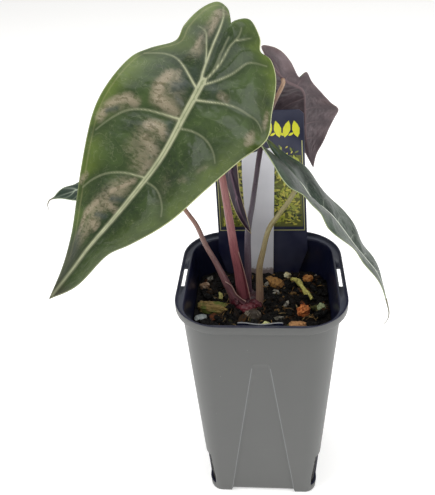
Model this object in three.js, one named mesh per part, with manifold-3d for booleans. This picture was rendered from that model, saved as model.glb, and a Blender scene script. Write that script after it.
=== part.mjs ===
// A young arrow-leaved alocasia in a tall square nursery pot, with its soil and two plant tags.
// Millimetres, +Z up. The origin is the middle of the pot's underside, and -Y is the front.
import * as THREE from 'three';
import { mergeVertices } from 'three/addons/utils/BufferGeometryUtils.js';
import Module from 'manifold-3d';

const wasm = await Module();
wasm.setup();

// Driving dimensions
const GAP = 0.35;
const POT = {
  height: 160,
  rimHalf: 50,
  rimRadius: 28,
  rimBand: 5.2,
  rimWall: 1.3,
  ledgeDrop: 2.5,
  ledgeThick: 1.3,
  topHalf: 45.7,
  topRadius: 19.4,
  baseHalf: 36.3,
  baseRadius: 8,
  wall: 1.4,
  foot: 1.8,
  floorTop: 3.4,
  footWidth: 3.2,
  cornerSteps: 6,
};
const PANEL = { topZ: 127, topHalf: 5, baseHalf: 21.7, depth: 1.2, topDepth: 0.15, sink: 0.1, thick: 1.3 };
const SIDE_SLOT = { inner: 45.3, outer: 48.5, yFrom: -11, yTo: 15.5 };
const DRAIN_SLOT = { xFrom: 32.6, xTo: 60, yFrom: 24.5, yTo: 34, zFrom: 7, zTo: 37 };
const FLOOR_HOLE = { radius: 3.5, place: 20 };
const CENTRE_PAD = 7;
const STRAP = { half: 12.5, z: 155.2, thick: 1.2, height: 2, stand: 3.2, sag: 2.2 };
const SOIL = { level: 132.6, lump: 1.3, mound: 1.6, rings: [0.93, 0.8, 0.66, 0.52, 0.38, 0.24, 0.11] };
const BLADE_THICK = 0.7;
const STALK_SIDES = 8;
const STALK_STEPS = 18;
const STALK_NECK = 3;
const SOCKET_ROOM = 0.5;

// Small helpers
const vec = (x, y, z) => new THREE.Vector3(x, y, z);
const vecs = (rows) => rows.map(([x, y, z]) => vec(x, y, z));
const mix = (a, b, t) => a + (b - a) * t;

function seeded(seed) {
  let state = seed;
  return () => {
    state = (state * 1664525 + 1013904223) % 4294967296;
    return state / 4294967296;
  };
}

function meshOf(points, faces) {
  const geometry = new THREE.BufferGeometry();
  const numbers = points.flatMap((p) => [p.x, p.y, p.z]);
  geometry.setAttribute('position', new THREE.Float32BufferAttribute(numbers, 3));
  geometry.setIndex(faces.flat());
  return geometry;
}

// Points only, with the doubled ones joined
function bareOf(geometry) {
  const bare = geometry.clone();
  bare.deleteAttribute('normal');
  bare.deleteAttribute('uv');
  return mergeVertices(bare, 1e-4);
}

function solidOf(geometry) {
  const bare = bareOf(geometry);
  return new wasm.Manifold(new wasm.Mesh({
    numProp: 3,
    vertProperties: new Float32Array(bare.attributes.position.array),
    triVerts: new Uint32Array(bare.index.array),
  }));
}

function geometryOf(solid) {
  const mesh = solid.getMesh();
  const geometry = new THREE.BufferGeometry();
  geometry.setAttribute('position', new THREE.Float32BufferAttribute(mesh.vertProperties, 3));
  geometry.setIndex(new THREE.Uint32BufferAttribute(mesh.triVerts, 1));
  return geometry;
}

function box(x0, x1, y0, y1, z0, z1) {
  const geometry = new THREE.BoxGeometry(x1 - x0, y1 - y0, z1 - z0);
  geometry.translate((x0 + x1) / 2, (y0 + y1) / 2, (z0 + z1) / 2);
  return solidOf(geometry);
}

// A closed skin over a row of loops, each with the same number of points, anticlockwise from above
function loft(loops, startCentre, endCentre) {
  const count = loops[0].length;
  const points = [...loops.flat(), startCentre, endCentre];
  const start = loops.length * count;
  const end = start + 1;
  const faces = [];
  for (let k = 0; k < count; k += 1) {
    const next = (k + 1) % count;
    faces.push([start, next, k]);
    faces.push([end, (loops.length - 1) * count + k, (loops.length - 1) * count + next]);
    for (let row = 0; row < loops.length - 1; row += 1) {
      const low = row * count;
      const high = low + count;
      faces.push([low + k, low + next, high + next]);
      faces.push([low + k, high + next, high + k]);
    }
  }
  return meshOf(points, faces);
}

function roundedSquare(half, radius, z) {
  const loop = [];
  const flat = half - radius;
  for (let corner = 0; corner < 4; corner += 1) {
    const turn = (corner * Math.PI) / 2;
    for (let step = 0; step <= POT.cornerSteps; step += 1) {
      const angle = turn + (step / POT.cornerSteps) * (Math.PI / 2);
      const side = turn + Math.PI / 4;
      const cx = Math.SQRT2 * flat * Math.cos(side);
      const cy = Math.SQRT2 * flat * Math.sin(side);
      loop.push(vec(cx + radius * Math.cos(angle), cy + radius * Math.sin(angle), z));
    }
  }
  return loop;
}

// A tube with its own radius at each step, closed at both ends
function tube(path, radii, sides, steps, grow = 0) {
  const curve = new THREE.CatmullRomCurve3(path, false, 'centripetal');
  const frames = curve.computeFrenetFrames(steps, false);
  const loops = [];
  for (let i = 0; i <= steps; i += 1) {
    const t = i / steps;
    const centre = curve.getPointAt(t);
    const place = t * (radii.length - 1);
    const k = Math.min(radii.length - 2, Math.floor(place));
    const radius = mix(radii[k], radii[k + 1], place - k) + grow;
    const loop = [];
    for (let s = 0; s < sides; s += 1) {
      const angle = (s / sides) * Math.PI * 2;
      loop.push(centre.clone()
        .addScaledVector(frames.normals[i], radius * Math.cos(angle))
        .addScaledVector(frames.binormals[i], radius * Math.sin(angle)));
    }
    loops.push(loop);
  }
  const ends = [curve.getPointAt(0), curve.getPointAt(1)];
  for (const point of [...loops[0], ends[0]]) point.addScaledVector(frames.tangents[0], -grow);
  for (const point of [...loops[steps], ends[1]]) point.addScaledVector(frames.tangents[steps], grow);
  return loft(loops, ends[0], ends[1]);
}

// The pot
const WALL_TOP = POT.height - POT.ledgeDrop - POT.ledgeThick;
const outerHalfAt = (z) => mix(POT.baseHalf, POT.topHalf, z / WALL_TOP);
const outerRadiusAt = (z) => mix(POT.baseRadius, POT.topRadius, z / WALL_TOP);
const innerLoopAt = (z, inset = 0) => roundedSquare(
  outerHalfAt(z) - POT.wall - inset, outerRadiusAt(z) - POT.wall - inset, z);

function turned(solid, quarter) {
  return solid.rotate([0, 0, quarter * 90]);
}

// One six-sided block between two upright rectangles on the front wall, given at two heights
function frontBlock(z0, z1, half0, half1, out0, out1, in0, in1) {
  const points = [
    vec(-half0, out0, z0), vec(half0, out0, z0), vec(half0, in0, z0), vec(-half0, in0, z0),
    vec(-half1, out1, z1), vec(half1, out1, z1), vec(half1, in1, z1), vec(-half1, in1, z1),
  ];
  const faces = [
    [0, 2, 1], [0, 3, 2], [4, 5, 6], [4, 6, 7], [0, 1, 5], [0, 5, 4],
    [1, 2, 6], [1, 6, 5], [2, 3, 7], [2, 7, 6], [3, 0, 4], [3, 4, 7],
  ];
  return solidOf(meshOf(points, faces));
}

function panelBlock(outer, inner, spread, fromZ) {
  const depthAt = (z) => mix(PANEL.depth, PANEL.topDepth, z / PANEL.topZ);
  const halfAt = (z) => mix(PANEL.baseHalf, PANEL.topHalf, z / PANEL.topZ) + spread;
  const topZ = PANEL.topZ + spread;
  const at = (z, shift) => -outerHalfAt(z) + depthAt(z) + shift;
  return frontBlock(fromZ, topZ, halfAt(fromZ), halfAt(topZ),
    at(fromZ, outer), at(topZ, outer), at(fromZ, inner), at(topZ, inner));
}

function makePot() {
  const top = POT.height;
  const ledge = top - POT.ledgeDrop;
  const under = ledge - POT.ledgeThick;
  const bandHalf = POT.rimHalf - POT.rimWall;
  const bandRadius = POT.rimRadius - POT.rimWall;
  const footHalf = POT.baseHalf - POT.footWidth;
  const loops = [
    roundedSquare(footHalf, POT.baseRadius - POT.footWidth, POT.foot),
    roundedSquare(footHalf, POT.baseRadius - POT.footWidth, 0),
    roundedSquare(POT.baseHalf - 0.6, POT.baseRadius - 0.6, 0),
    roundedSquare(outerHalfAt(0.8), outerRadiusAt(0.8), 0.8),
    roundedSquare(outerHalfAt(under), outerRadiusAt(under), under),
    roundedSquare(bandHalf, bandRadius, under),
    roundedSquare(bandHalf, bandRadius, top - POT.rimBand),
    roundedSquare(POT.rimHalf, POT.rimRadius, top - POT.rimBand),
    roundedSquare(POT.rimHalf, POT.rimRadius, top),
    roundedSquare(bandHalf, bandRadius, top),
    roundedSquare(bandHalf, bandRadius, ledge),
    roundedSquare(POT.topHalf - 0.8, POT.topRadius - 0.8, ledge),
    innerLoopAt(under),
    innerLoopAt(POT.floorTop),
  ];
  let pot = solidOf(loft(loops, vec(0, 0, POT.foot), vec(0, 0, POT.floorTop)));
  for (let quarter = 0; quarter < 4; quarter += 1) {
    pot = pot.subtract(turned(panelBlock(-4, 0, 0, -1), quarter));
    pot = pot.add(turned(panelBlock(PANEL.sink, PANEL.thick, 0.4, POT.foot / 2), quarter));
    const footCut = box(-PANEL.baseHalf, PANEL.baseHalf, -POT.baseHalf - 1, -footHalf + 1, -1, POT.foot);
    pot = pot.subtract(turned(footCut, quarter));
  }
  for (const sx of [-1, 1]) {
    const slotX = [SIDE_SLOT.inner * sx, SIDE_SLOT.outer * sx].sort((a, b) => a - b);
    pot = pot.subtract(box(slotX[0], slotX[1], SIDE_SLOT.yFrom, SIDE_SLOT.yTo, under - 1, ledge + 1));
    for (const sy of [-1, 1]) {
      const x = [DRAIN_SLOT.xFrom * sx, DRAIN_SLOT.xTo * sx].sort((a, b) => a - b);
      const y = [DRAIN_SLOT.yFrom * sy, DRAIN_SLOT.yTo * sy].sort((a, b) => a - b);
      pot = pot.subtract(box(x[0], x[1], y[0], y[1], DRAIN_SLOT.zFrom, DRAIN_SLOT.zTo));
      const hole = new THREE.CylinderGeometry(FLOOR_HOLE.radius, FLOOR_HOLE.radius, 10, 12);
      hole.rotateX(Math.PI / 2);
      hole.translate(FLOOR_HOLE.place * sx, FLOOR_HOLE.place * sy, 0);
      pot = pot.subtract(solidOf(hole));
    }
  }
  pot = pot.add(box(-CENTRE_PAD, CENTRE_PAD, -CENTRE_PAD, CENTRE_PAD, 0, POT.foot + 0.5));
  return pot.add(makeStrap());
}

// The bowed strap inside the front of the rim that holds a label
function makeStrap() {
  const back = outerHalfAt(STRAP.z) - POT.wall;
  const steps = 8;
  const loops = [];
  for (let i = 0; i <= steps; i += 1) {
    const t = (i / steps) * 2 - 1;
    const bow = 1 - t ** 4;
    const x = t * STRAP.half;
    const y = -back - 0.5 + (STRAP.stand + 0.5) * bow;
    const z = STRAP.z - STRAP.sag * (1 - t * t);
    loops.push([
      vec(x, y, z), vec(x, y + STRAP.thick, z),
      vec(x, y + STRAP.thick, z + STRAP.height), vec(x, y, z + STRAP.height),
    ]);
  }
  const middle = (loop) => loop.reduce((sum, p) => sum.add(p), vec(0, 0, 0)).multiplyScalar(1 / loop.length);
  return solidOf(loft(loops, middle(loops[0]), middle(loops[steps])));
}

// The soil's height at a place, in soft lumps that rise to the plant
function soilHeight(x, y) {
  const mound = SOIL.mound * Math.exp(-((x + 9) ** 2 + (y - 4) ** 2) / 260);
  const wave = Math.sin(x * 0.31 + 1.3) * Math.cos(y * 0.27 - 0.4);
  const ripple = 0.6 * Math.sin(x * 0.63 - y * 0.52 + 2.1);
  return SOIL.level + mound + SOIL.lump * 0.55 * (wave + ripple);
}

function makeSoil(cutters) {
  const floor = POT.floorTop + GAP;
  const rim = innerLoopAt(SOIL.level, GAP);
  const loops = [innerLoopAt(floor, GAP), rim.map((p) => vec(p.x, p.y, soilHeight(p.x, p.y) - 0.8))];
  for (const share of SOIL.rings) {
    loops.push(rim.map((p) => vec(p.x * share, p.y * share, soilHeight(p.x * share, p.y * share))));
  }
  let soil = solidOf(loft(loops, vec(0, 0, floor), vec(0, 0, soilHeight(0, 0))));
  for (let quarter = 0; quarter < 4; quarter += 1) {
    soil = soil.subtract(turned(panelBlock(-6, PANEL.thick + GAP, 0.4 + GAP, 0), quarter));
  }
  for (const cutter of cutters) soil = soil.subtract(cutter);
  return soil;
}

// Coarse bits in the mix: place, half sizes, turn about Z and a seed for the broken faces
const BITS = [
  { name: 'moss_bark', at: [-31, 0.5], size: [9.6, 5, 3.6], turn: -8, seed: 11, color: 0x8f8a3c },
  { name: 'pebble', at: [-38, -9.5], size: [4.4, 3, 2.6], turn: 10, seed: 23, color: 0xb9bfc0 },
  { name: 'tan_chip', at: [-38, 23], size: [3.6, 3, 2.6], turn: 30, seed: 31, color: 0xb08a68 },
  { name: 'orange_chip', at: [30.5, 31.5], size: [3.8, 3.4, 3], turn: 40, seed: 41, color: 0xb8702e },
  { name: 'clay_lump', at: [26, -3], size: [5, 4.6, 4.4], turn: 20, seed: 53, color: 0xb2602c },
  { name: 'cream_chip', at: [17, 35.5], size: [3, 2.3, 2.2], turn: 0, seed: 61, color: 0xd9cfa4 },
  { name: 'green_chip', at: [37.5, 1], size: [3.2, 3, 2.8], turn: 15, seed: 71, color: 0x8c9468 },
  { name: 'fibre_bark', at: [8.5, 28.5], size: [8, 5, 2.8], turn: -40, seed: 83, color: 0x9a7242 },
  { name: 'front_chip', at: [22, -17], size: [5.6, 2.8, 2.4], turn: 5, seed: 97, color: 0xb78d5c },
  { name: 'pale_chip', at: [3, -15.5], size: [3.4, 2.1, 2], turn: 0, seed: 101, color: 0xb7b878 },
  { name: 'yellow_shred', at: [-26.5, 12.5], size: [1.5, 4, 1.7], turn: 8, seed: 113, color: 0xb9b060 },
];
const TWIG = { path: [[19.5, 31.5], [23, 28], [26, 22.5], [28.5, 16], [32, 9.5]], lift: 1.1, radius: 1.9 };

function bitShape(bit, grow) {
  const random = seeded(bit.seed);
  const shape = bareOf(new THREE.IcosahedronGeometry(1, 1));
  const place = shape.attributes.position;
  for (let i = 0; i < place.count; i += 1) {
    const knock = 0.84 + 0.3 * random();
    place.setXYZ(i, place.getX(i) * knock * bit.size[0] + Math.sign(place.getX(i)) * grow,
      place.getY(i) * knock * bit.size[1] + Math.sign(place.getY(i)) * grow,
      place.getZ(i) * knock * bit.size[2] + Math.sign(place.getZ(i)) * grow);
  }
  shape.rotateZ(THREE.MathUtils.degToRad(bit.turn));
  shape.translate(bit.at[0], bit.at[1], soilHeight(bit.at[0], bit.at[1]) + bit.size[2] * 0.25);
  return shape;
}

function twigShape(grow) {
  const path = TWIG.path.map(([x, y]) => vec(x, y, soilHeight(x, y) + TWIG.lift));
  const radii = [0.7, 1, 0.8, 1, 0.6].map((share) => share * TWIG.radius);
  return tube(path, radii, 8, 10, grow);
}

// Leaf blades: margin, midline and margin from the sinus to the tip, seen on the upper side with the tip down
const BLADES = {
  a: {
    left: [[-14, 21, 303], [-16, 27, 309], [-21, 30, 312], [-29, 28, 310], [-38, 20, 303], [-42, 14, 297],
      [-55, 10, 295], [-64, 8, 292], [-78, -4, 279], [-84, -12, 269], [-89, -28, 248], [-92, -38, 233],
      [-94, -49, 219], [-98, -58, 207], [-105, -68, 193]],
    middle: [[-14, 21, 303], [-21, 8, 291], [-29, -5, 279], [-36, -14, 269], [-49, -28, 250],
      [-70, -46, 229], [-84, -56, 216], [-92, -61, 207], [-105, -68, 193]],
    right: [[-14, 21, 303], [-10, 24, 304], [-4, 28, 303], [1, 25, 294], [1, 21, 288], [6, 22, 283],
      [9, 17, 274], [7, 7, 259], [4, -1, 248], [-10, -12, 241], [-28, -24, 230], [-46, -37, 219],
      [-65, -47, 212], [-76, -52, 209], [-92, -63, 197], [-105, -68, 193]],
    attach: 2, rows: 36, columns: 6, arch: 0.07, quilt: 0.9, veins: 6, wave: 0.9, rib: 0.8,
  },
  b: {
    left: [[5, 46, 275], [1, 50, 283], [7, 53, 282], [12, 54, 279], [18, 56, 271], [23, 58, 262],
      [27, 63, 264], [31, 63, 257], [43, 68, 244], [48, 72, 236], [44, 72, 222], [39, 71, 211],
      [34, 69, 197]],
    middle: [[5, 46, 275], [14, 50, 263], [25, 57, 254], [27, 62, 241], [28, 66, 224], [30, 68, 210],
      [34, 69, 197]],
    right: [[5, 46, 275], [-7, 52, 275], [-10, 56, 262], [-7, 60, 248], [2, 64, 233], [14, 67, 221],
      [25, 68, 213], [34, 69, 197]],
    attach: 1, rows: 26, columns: 4, arch: 0.05, quilt: 0.6, veins: 5, wave: 0.7, rib: 0.7,
  },
  c: {
    left: [[15, 4, 226], [9, -2, 237], [1, -8, 248], [8, -18, 240], [16, -22, 231], [22, -23, 227],
      [27, -23, 220], [32, -23, 215], [37, -22, 206], [44, -20, 197], [53, -17, 187], [63, -12, 170],
      [71, -8, 156], [76, -6, 141]],
    middle: [[15, 4, 226], [23, 2, 220], [29, 1, 211], [40, 0, 201], [47, -1, 192], [54, -2, 182],
      [61, -3, 173], [68, -4, 164], [73, -5, 152], [76, -6, 141]],
    right: [[15, 4, 226], [11, 12, 230], [3, 24, 237], [11, 30, 229], [25, 30, 218], [34, 28, 207],
      [42, 26, 198], [51, 24, 188], [57, 20, 182], [62, 16, 171], [68, 10, 164], [71, 5, 160], [73, 0, 153],
      [76, -6, 141]],
    attach: 1, rows: 30, columns: 4, arch: 0.03, quilt: 0.6, veins: 6, wave: 0.6, rib: 0.7,
  },
  d: {
    left: [[-59, 27, 227], [-52, 36, 232], [-68, 44, 231], [-85, 46, 222], [-101, 42, 212], [-117, 37, 204],
      [-125, 33, 203], [-132, 29, 197]],
    middle: [[-59, 27, 227], [-66, 27, 225], [-85, 30, 218], [-102, 31, 209], [-116, 31, 202],
      [-126, 30, 199], [-132, 29, 197]],
    right: [[-59, 27, 227], [-48, 18, 225], [-61, 12, 217], [-80, 12, 211], [-97, 17, 204], [-116, 24, 199],
      [-126, 28, 198], [-132, 29, 197]],
    attach: 1, rows: 24, columns: 4, arch: 0.05, quilt: 0.6, veins: 5, wave: 0.6, rib: 0.7,
  },
  e: {
    left: [[-20, 11, 253], [-18, 14, 257], [-15, 15, 244], [-13, 16, 225], [-12, 16, 208], [-9, 16, 194],
      [-7, 16, 184], [-6, 14, 180]],
    middle: [[-20, 11, 253], [-20, 12, 243], [-18, 13, 227], [-15, 14, 210], [-12, 14, 195], [-6, 14, 180]],
    right: [[-20, 11, 253], [-22, 14, 257], [-24, 15, 244], [-22, 16, 229], [-19, 16, 209], [-15, 16, 194],
      [-10, 16, 184], [-6, 14, 180]],
    attach: 1, rows: 18, columns: 3, arch: 0.02, quilt: 0.15, veins: 4, wave: 0.3, rib: 0.3,
  },
};
// The margins run ahead of the midline, so that the cross rows lie along the side veins
const MARGIN_LEAD = 0.74;

function bladeSurface(spec) {
  const curve = (rows) => new THREE.CatmullRomCurve3(vecs(rows), false, 'centripetal');
  const left = curve(spec.left);
  const middle = curve(spec.middle);
  const right = curve(spec.right);
  const half = spec.columns;
  const rows = [];
  for (let i = 0; i <= spec.rows; i += 1) {
    const t = i / spec.rows;
    const lead = t ** MARGIN_LEAD;
    const m = middle.getPointAt(t);
    const l = left.getPointAt(lead);
    const r = right.getPointAt(lead);
    const normal = new THREE.Vector3().crossVectors(middle.getTangentAt(t), r.clone().sub(l)).normalize();
    const row = [];
    for (let j = -half; j <= half; j += 1) {
      const s = Math.abs(j) / half;
      const margin = j < 0 ? l : r;
      const reach = margin.distanceTo(m);
      const body = Math.sin(Math.PI * s);
      const ripple = Math.cos(2 * Math.PI * spec.veins * t + (j < 0 ? 0.6 : 0));
      const taper = Math.min(1, reach / 12);
      const lift = spec.arch * reach * body + taper * (spec.quilt * body * ripple
        + spec.wave * s ** 3 * Math.sin(2 * Math.PI * spec.veins * 0.8 * lead + (j < 0 ? 1.1 : 2.4)));
      row.push(m.clone().lerp(margin, s).addScaledVector(normal, lift));
    }
    rows.push(row);
  }
  return rows;
}

function surfaceNormals(rows) {
  const normals = rows.map((row) => row.map(() => vec(0, 0, 0)));
  const width = rows[0].length;
  for (let i = 0; i < rows.length - 1; i += 1) {
    for (let j = 0; j < width - 1; j += 1) {
      const along = rows[i + 1][j + 1].clone().sub(rows[i][j]);
      const across = rows[i][j + 1].clone().sub(rows[i + 1][j]);
      const face = along.cross(across);
      for (const [a, b] of [[i, j], [i + 1, j], [i, j + 1], [i + 1, j + 1]]) normals[a][b].add(face);
    }
  }
  for (const row of [normals[0], normals[rows.length - 1]]) {
    const sum = row.reduce((total, n) => total.add(n), vec(0, 0, 0));
    row.forEach((n) => n.copy(sum));
  }
  return normals.map((row) => row.map((n) => n.normalize()));
}

// One thin closed sheet: the same triangles on both faces, joined round the margin
function makeBlade(spec) {
  const rows = bladeSurface(spec);
  const normals = surfaceNormals(rows);
  const last = rows.length - 1;
  const width = rows[0].length;
  const middle = spec.columns;
  const points = [];
  const index = { upper: [], lower: [] };
  for (const [side, sign] of [['upper', 1], ['lower', -1]]) {
    for (let i = 0; i <= last; i += 1) {
      const pointed = i === 0 || i === last;
      const line = [];
      for (let j = 0; j < width; j += 1) {
        if (pointed && j > 0) {
          line.push(line[0]);
          continue;
        }
        const k = pointed ? middle : j;
        const rib = side === 'lower' && k === middle ? spec.rib * (1 - i / last) : 0;
        const offset = pointed ? BLADE_THICK / 2 : BLADE_THICK / 2 + rib;
        line.push(points.length);
        points.push(rows[i][k].clone().addScaledVector(normals[i][k], sign * offset));
      }
      index[side].push(line);
    }
  }
  const faces = [];
  const add = (a, b, c) => {
    if (a !== b && b !== c && a !== c) faces.push([a, b, c]);
  };
  for (let i = 0; i < last; i += 1) {
    for (let j = 0; j < width - 1; j += 1) {
      const [u, w] = [index.upper, index.lower];
      add(u[i][j], u[i + 1][j], u[i + 1][j + 1]);
      add(u[i][j], u[i + 1][j + 1], u[i][j + 1]);
      add(w[i][j], w[i + 1][j + 1], w[i + 1][j]);
      add(w[i][j], w[i][j + 1], w[i + 1][j + 1]);
    }
    for (const [j, flip] of [[0, false], [width - 1, true]]) {
      const quad = [index.upper[i][j], index.lower[i][j], index.lower[i + 1][j], index.upper[i + 1][j]];
      if (flip) quad.reverse();
      add(quad[0], quad[1], quad[2]);
      add(quad[0], quad[2], quad[3]);
    }
  }
  return meshOf(points, faces);
}

// The last stretch of a stalk, which meets the blade's lower face square on
function stalkEnd(spec) {
  const place = vecs(spec.middle)[spec.attach];
  const rows = bladeSurface(spec);
  const normals = surfaceNormals(rows);
  let best = [0, Infinity];
  rows.forEach((row, i) => {
    const gap = row[spec.columns].distanceTo(place);
    if (gap < best[1]) best = [i, gap];
  });
  const normal = normals[best[0]][spec.columns];
  const below = BLADE_THICK / 2 + spec.rib + GAP;
  return [below + STALK_NECK, below].map((drop) => rows[best[0]][spec.columns].clone()
    .addScaledVector(normal, -drop));
}

// Leaf stalks, from the crown up; each ends on the lower face of its own blade
const STALKS = {
  a: { path: [[-11.5, 5, 133], [-12.5, 5, 141], [-14, 5, 159], [-16, 4, 175], [-17.5, 4, 190],
    [-21, 4, 223], [-25, 5, 251], [-28, 4, 267]], radii: [3.1, 2.7, 2.5, 2.3, 2.1, 1.9, 1.5, 1.3] },
  b: { path: [[-8.5, 11.5, 133], [-8.8, 12, 141], [-8.5, 13.5, 155], [-8, 18, 180], [-5, 22, 197],
    [-3, 26, 210], [0, 31, 228], [4, 38, 243], [8.5, 42.5, 253]],
    radii: [2, 1.8, 1.7, 1.6, 1.5, 1.6, 1.3, 1.2] },
  c: { path: [[-2, 3.5, 133], [-1.2, 3.5, 140], [-1, 4, 162], [1, 4, 173], [5, 4, 190], [10, 3, 199],
    [15.5, 1.5, 208.5]], radii: [2.2, 2, 1.8, 1.6, 1.5, 1.3, 1.2] },
  d: { path: [[-17.5, 5.5, 133], [-19, 6, 141], [-22, 7, 148], [-28, 9, 162], [-34, 11, 174],
    [-39, 13, 187], [-45, 15, 196], [-57, 21, 212]], radii: [2.5, 2.2, 1.7, 1.5, 1.4, 1.3, 1.2, 1.1] },
  e: { path: [[-13.5, 11.5, 133], [-13.5, 11, 141], [-14.5, 10.5, 156], [-16, 10, 171], [-18, 9.3, 186],
    [-20, 9.2, 203], [-22, 9.2, 220], [-23, 9.2, 232], [-22.5, 8.8, 240]],
    radii: [1.4, 1.3, 1.2, 1.1, 1.1, 1, 1] },
};

function stalkShape(name, grow) {
  const stalk = STALKS[name];
  const path = vecs(stalk.path);
  path.push(...stalkEnd(BLADES[name]));
  return tube(path, stalk.radii, STALK_SIDES, STALK_STEPS, grow);
}

// The crown, and the stub of the old stem in front of it
function lumpyStack(rings, seed) {
  const random = seeded(seed);
  const sides = 12;
  const loops = rings.map(([x, y, z, rx, ry]) => {
    const loop = [];
    for (let k = 0; k < sides; k += 1) {
      const angle = (k / sides) * Math.PI * 2;
      const knock = 0.92 + 0.16 * random();
      loop.push(vec(x + rx * knock * Math.cos(angle), y + ry * knock * Math.sin(angle), z));
    }
    return loop;
  });
  const [first, final] = [rings[0], rings[rings.length - 1]];
  return loft(loops, vec(first[0], first[1], first[2] - 0.6), vec(final[0], final[1], final[2] + 0.5));
}
const CROWN_RINGS = [[-9.5, 7, 124, 5, 4.5], [-9.5, 7, 129, 9.5, 8.5], [-9.8, 7, 133.5, 10.4, 9.4],
  [-9.8, 7, 136.5, 9.8, 8.6], [-10, 7, 138.5, 8.5, 7]];
const CORM_RINGS = [[-6, -7, 127, 3.5, 3], [-6, -7, 132, 6.2, 4.2], [-5.5, -7, 136, 5.6, 4],
  [-5, -7, 139, 3, 2.4]];
const CROWN_SEED = 7;
const CORM_SEED = 9;

// The same rings with room round them, and the lowest one let down
function widened(rings, drop) {
  return rings.map(([x, y, z, rx, ry], k) => {
    const low = k === 0 ? drop : 0;
    return [x, y, z - low, rx + SOCKET_ROOM, ry + SOCKET_ROOM];
  });
}

// The plant tags, which stand in the mix and lean back along the wall
const TAG_LEAN = 0.061;
const TAG_FOOT_Z = 131;
const TAGS = {
  picture_tag: {
    front: 40.8, thick: 0.8, color: 0x20233f,
    outline: [[-5, 100], [5, 100], [24.3, 131], [30.2, 149.5], [29.6, 163], [25.6, 243], [23, 245.5],
      [-26.5, 245.5], [-29, 243], [-29.2, 197], [-28.8, 163], [-29.4, 149.5], [-23.8, 131]],
  },
  name_label: {
    front: 39.8, thick: 0.6, color: 0xe4e4e8,
    outline: [[-3, 104], [2, 104], [7.4, 122], [8.2, 209], [8.2, 221], [6.8, 222.6], [-10.6, 217.8],
      [-12, 216],
      [-12.1, 203], [-8.6, 122]],
  },
};

function tagShape(tag, grow) {
  const y = (z, shift) => tag.front + TAG_LEAN * (z - TAG_FOOT_Z) + shift;
  const middle = [0, 1].map((axis) => tag.outline.reduce((sum, p) => sum + p[axis], 0) / tag.outline.length);
  const grown = tag.outline.map(([x, z]) => {
    const [dx, dz] = [x - middle[0], z - middle[1]];
    return [x + Math.sign(dx) * grow * 1.4, z + Math.sign(dz) * grow * 1.4];
  });
  const front = grown.map(([x, z]) => vec(x, y(z, -grow), z));
  const backShift = grow > 0 ? 8 : tag.thick;
  const back = grown.map(([x, z]) => vec(x, y(z, backShift), z));
  const centreAt = (shift) => vec(middle[0], y(middle[1], shift), middle[1]);
  return loft([back, front], centreAt(backShift), centreAt(-grow));
}

// Putting it together
const plant = new THREE.Group();

function place(name, geometry, color, roughness) {
  const material = new THREE.MeshStandardMaterial({ color, roughness, metalness: 0 });
  const mesh = new THREE.Mesh(geometry, material);
  mesh.name = name;
  plant.add(mesh);
}

const stalkNames = Object.keys(STALKS);
const grownStalks = stalkNames.map((name) => solidOf(stalkShape(name, GAP)));
let crown = solidOf(lumpyStack(CROWN_RINGS, CROWN_SEED));
for (const stalk of grownStalks) crown = crown.subtract(stalk);
const cormShape = lumpyStack(CORM_RINGS, CORM_SEED);
crown = crown.subtract(solidOf(lumpyStack(widened(CORM_RINGS, 0), CORM_SEED)));

const sockets = [
  ...grownStalks,
  solidOf(lumpyStack(widened(CROWN_RINGS, GAP), CROWN_SEED)),
  solidOf(lumpyStack(widened(CORM_RINGS, GAP), CORM_SEED)),
  ...BITS.map((bit) => solidOf(bitShape(bit, GAP * 1.3))),
  solidOf(twigShape(GAP)),
  ...Object.values(TAGS).map((tag) => solidOf(tagShape(tag, GAP))),
];

place('pot', geometryOf(makePot()), 0x6d6f71, 0.5);
place('soil', geometryOf(makeSoil(sockets)), 0x1f1a16, 0.95);
for (const bit of BITS) place(bit.name, bitShape(bit, 0), bit.color, 0.9);
place('curved_twig', twigShape(0), 0xb5ad5a, 0.8);
place('crown', geometryOf(crown), 0x6b2c33, 0.6);
place('corm', cormShape, 0x4c3526, 0.9);
const stalkColors = { a: 0x94484c, b: 0x46303a, c: 0x8a7656, d: 0x7a5a58, e: 0x5c3a46 };
for (const name of stalkNames) place(`petiole_${name}`, stalkShape(name, 0), stalkColors[name], 0.45);
const bladeColors = { a: 0x2c4a2a, b: 0x5a4650, c: 0x5f7468, d: 0x3f5448, e: 0x3c2438 };
for (const [name, blade] of Object.entries(BLADES)) {
  place(`blade_${name}`, makeBlade(blade), bladeColors[name], 0.35);
}
for (const [name, tag] of Object.entries(TAGS)) place(name, tagShape(tag, 0), tag.color, 0.4);

export default plant;
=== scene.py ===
"""The looks of a potted arrow-leaved alocasia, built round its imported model.

Shapes are worked out in millimetres in the model's own frame and written to Blender in metres.
"""
import math
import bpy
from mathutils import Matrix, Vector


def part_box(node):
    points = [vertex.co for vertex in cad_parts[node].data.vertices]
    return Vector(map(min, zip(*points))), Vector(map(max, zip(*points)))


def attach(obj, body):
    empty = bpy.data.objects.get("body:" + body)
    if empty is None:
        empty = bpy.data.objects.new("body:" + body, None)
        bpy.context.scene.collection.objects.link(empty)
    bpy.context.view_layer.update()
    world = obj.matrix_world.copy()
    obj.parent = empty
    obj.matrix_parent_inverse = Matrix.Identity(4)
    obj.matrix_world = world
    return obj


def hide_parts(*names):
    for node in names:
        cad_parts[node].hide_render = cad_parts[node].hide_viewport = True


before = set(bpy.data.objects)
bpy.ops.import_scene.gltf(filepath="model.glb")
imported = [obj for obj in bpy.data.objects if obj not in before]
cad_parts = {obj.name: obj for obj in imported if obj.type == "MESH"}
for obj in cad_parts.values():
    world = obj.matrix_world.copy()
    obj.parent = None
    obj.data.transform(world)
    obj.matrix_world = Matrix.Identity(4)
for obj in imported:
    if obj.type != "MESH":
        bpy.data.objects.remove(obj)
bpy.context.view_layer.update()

from types import SimpleNamespace

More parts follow.
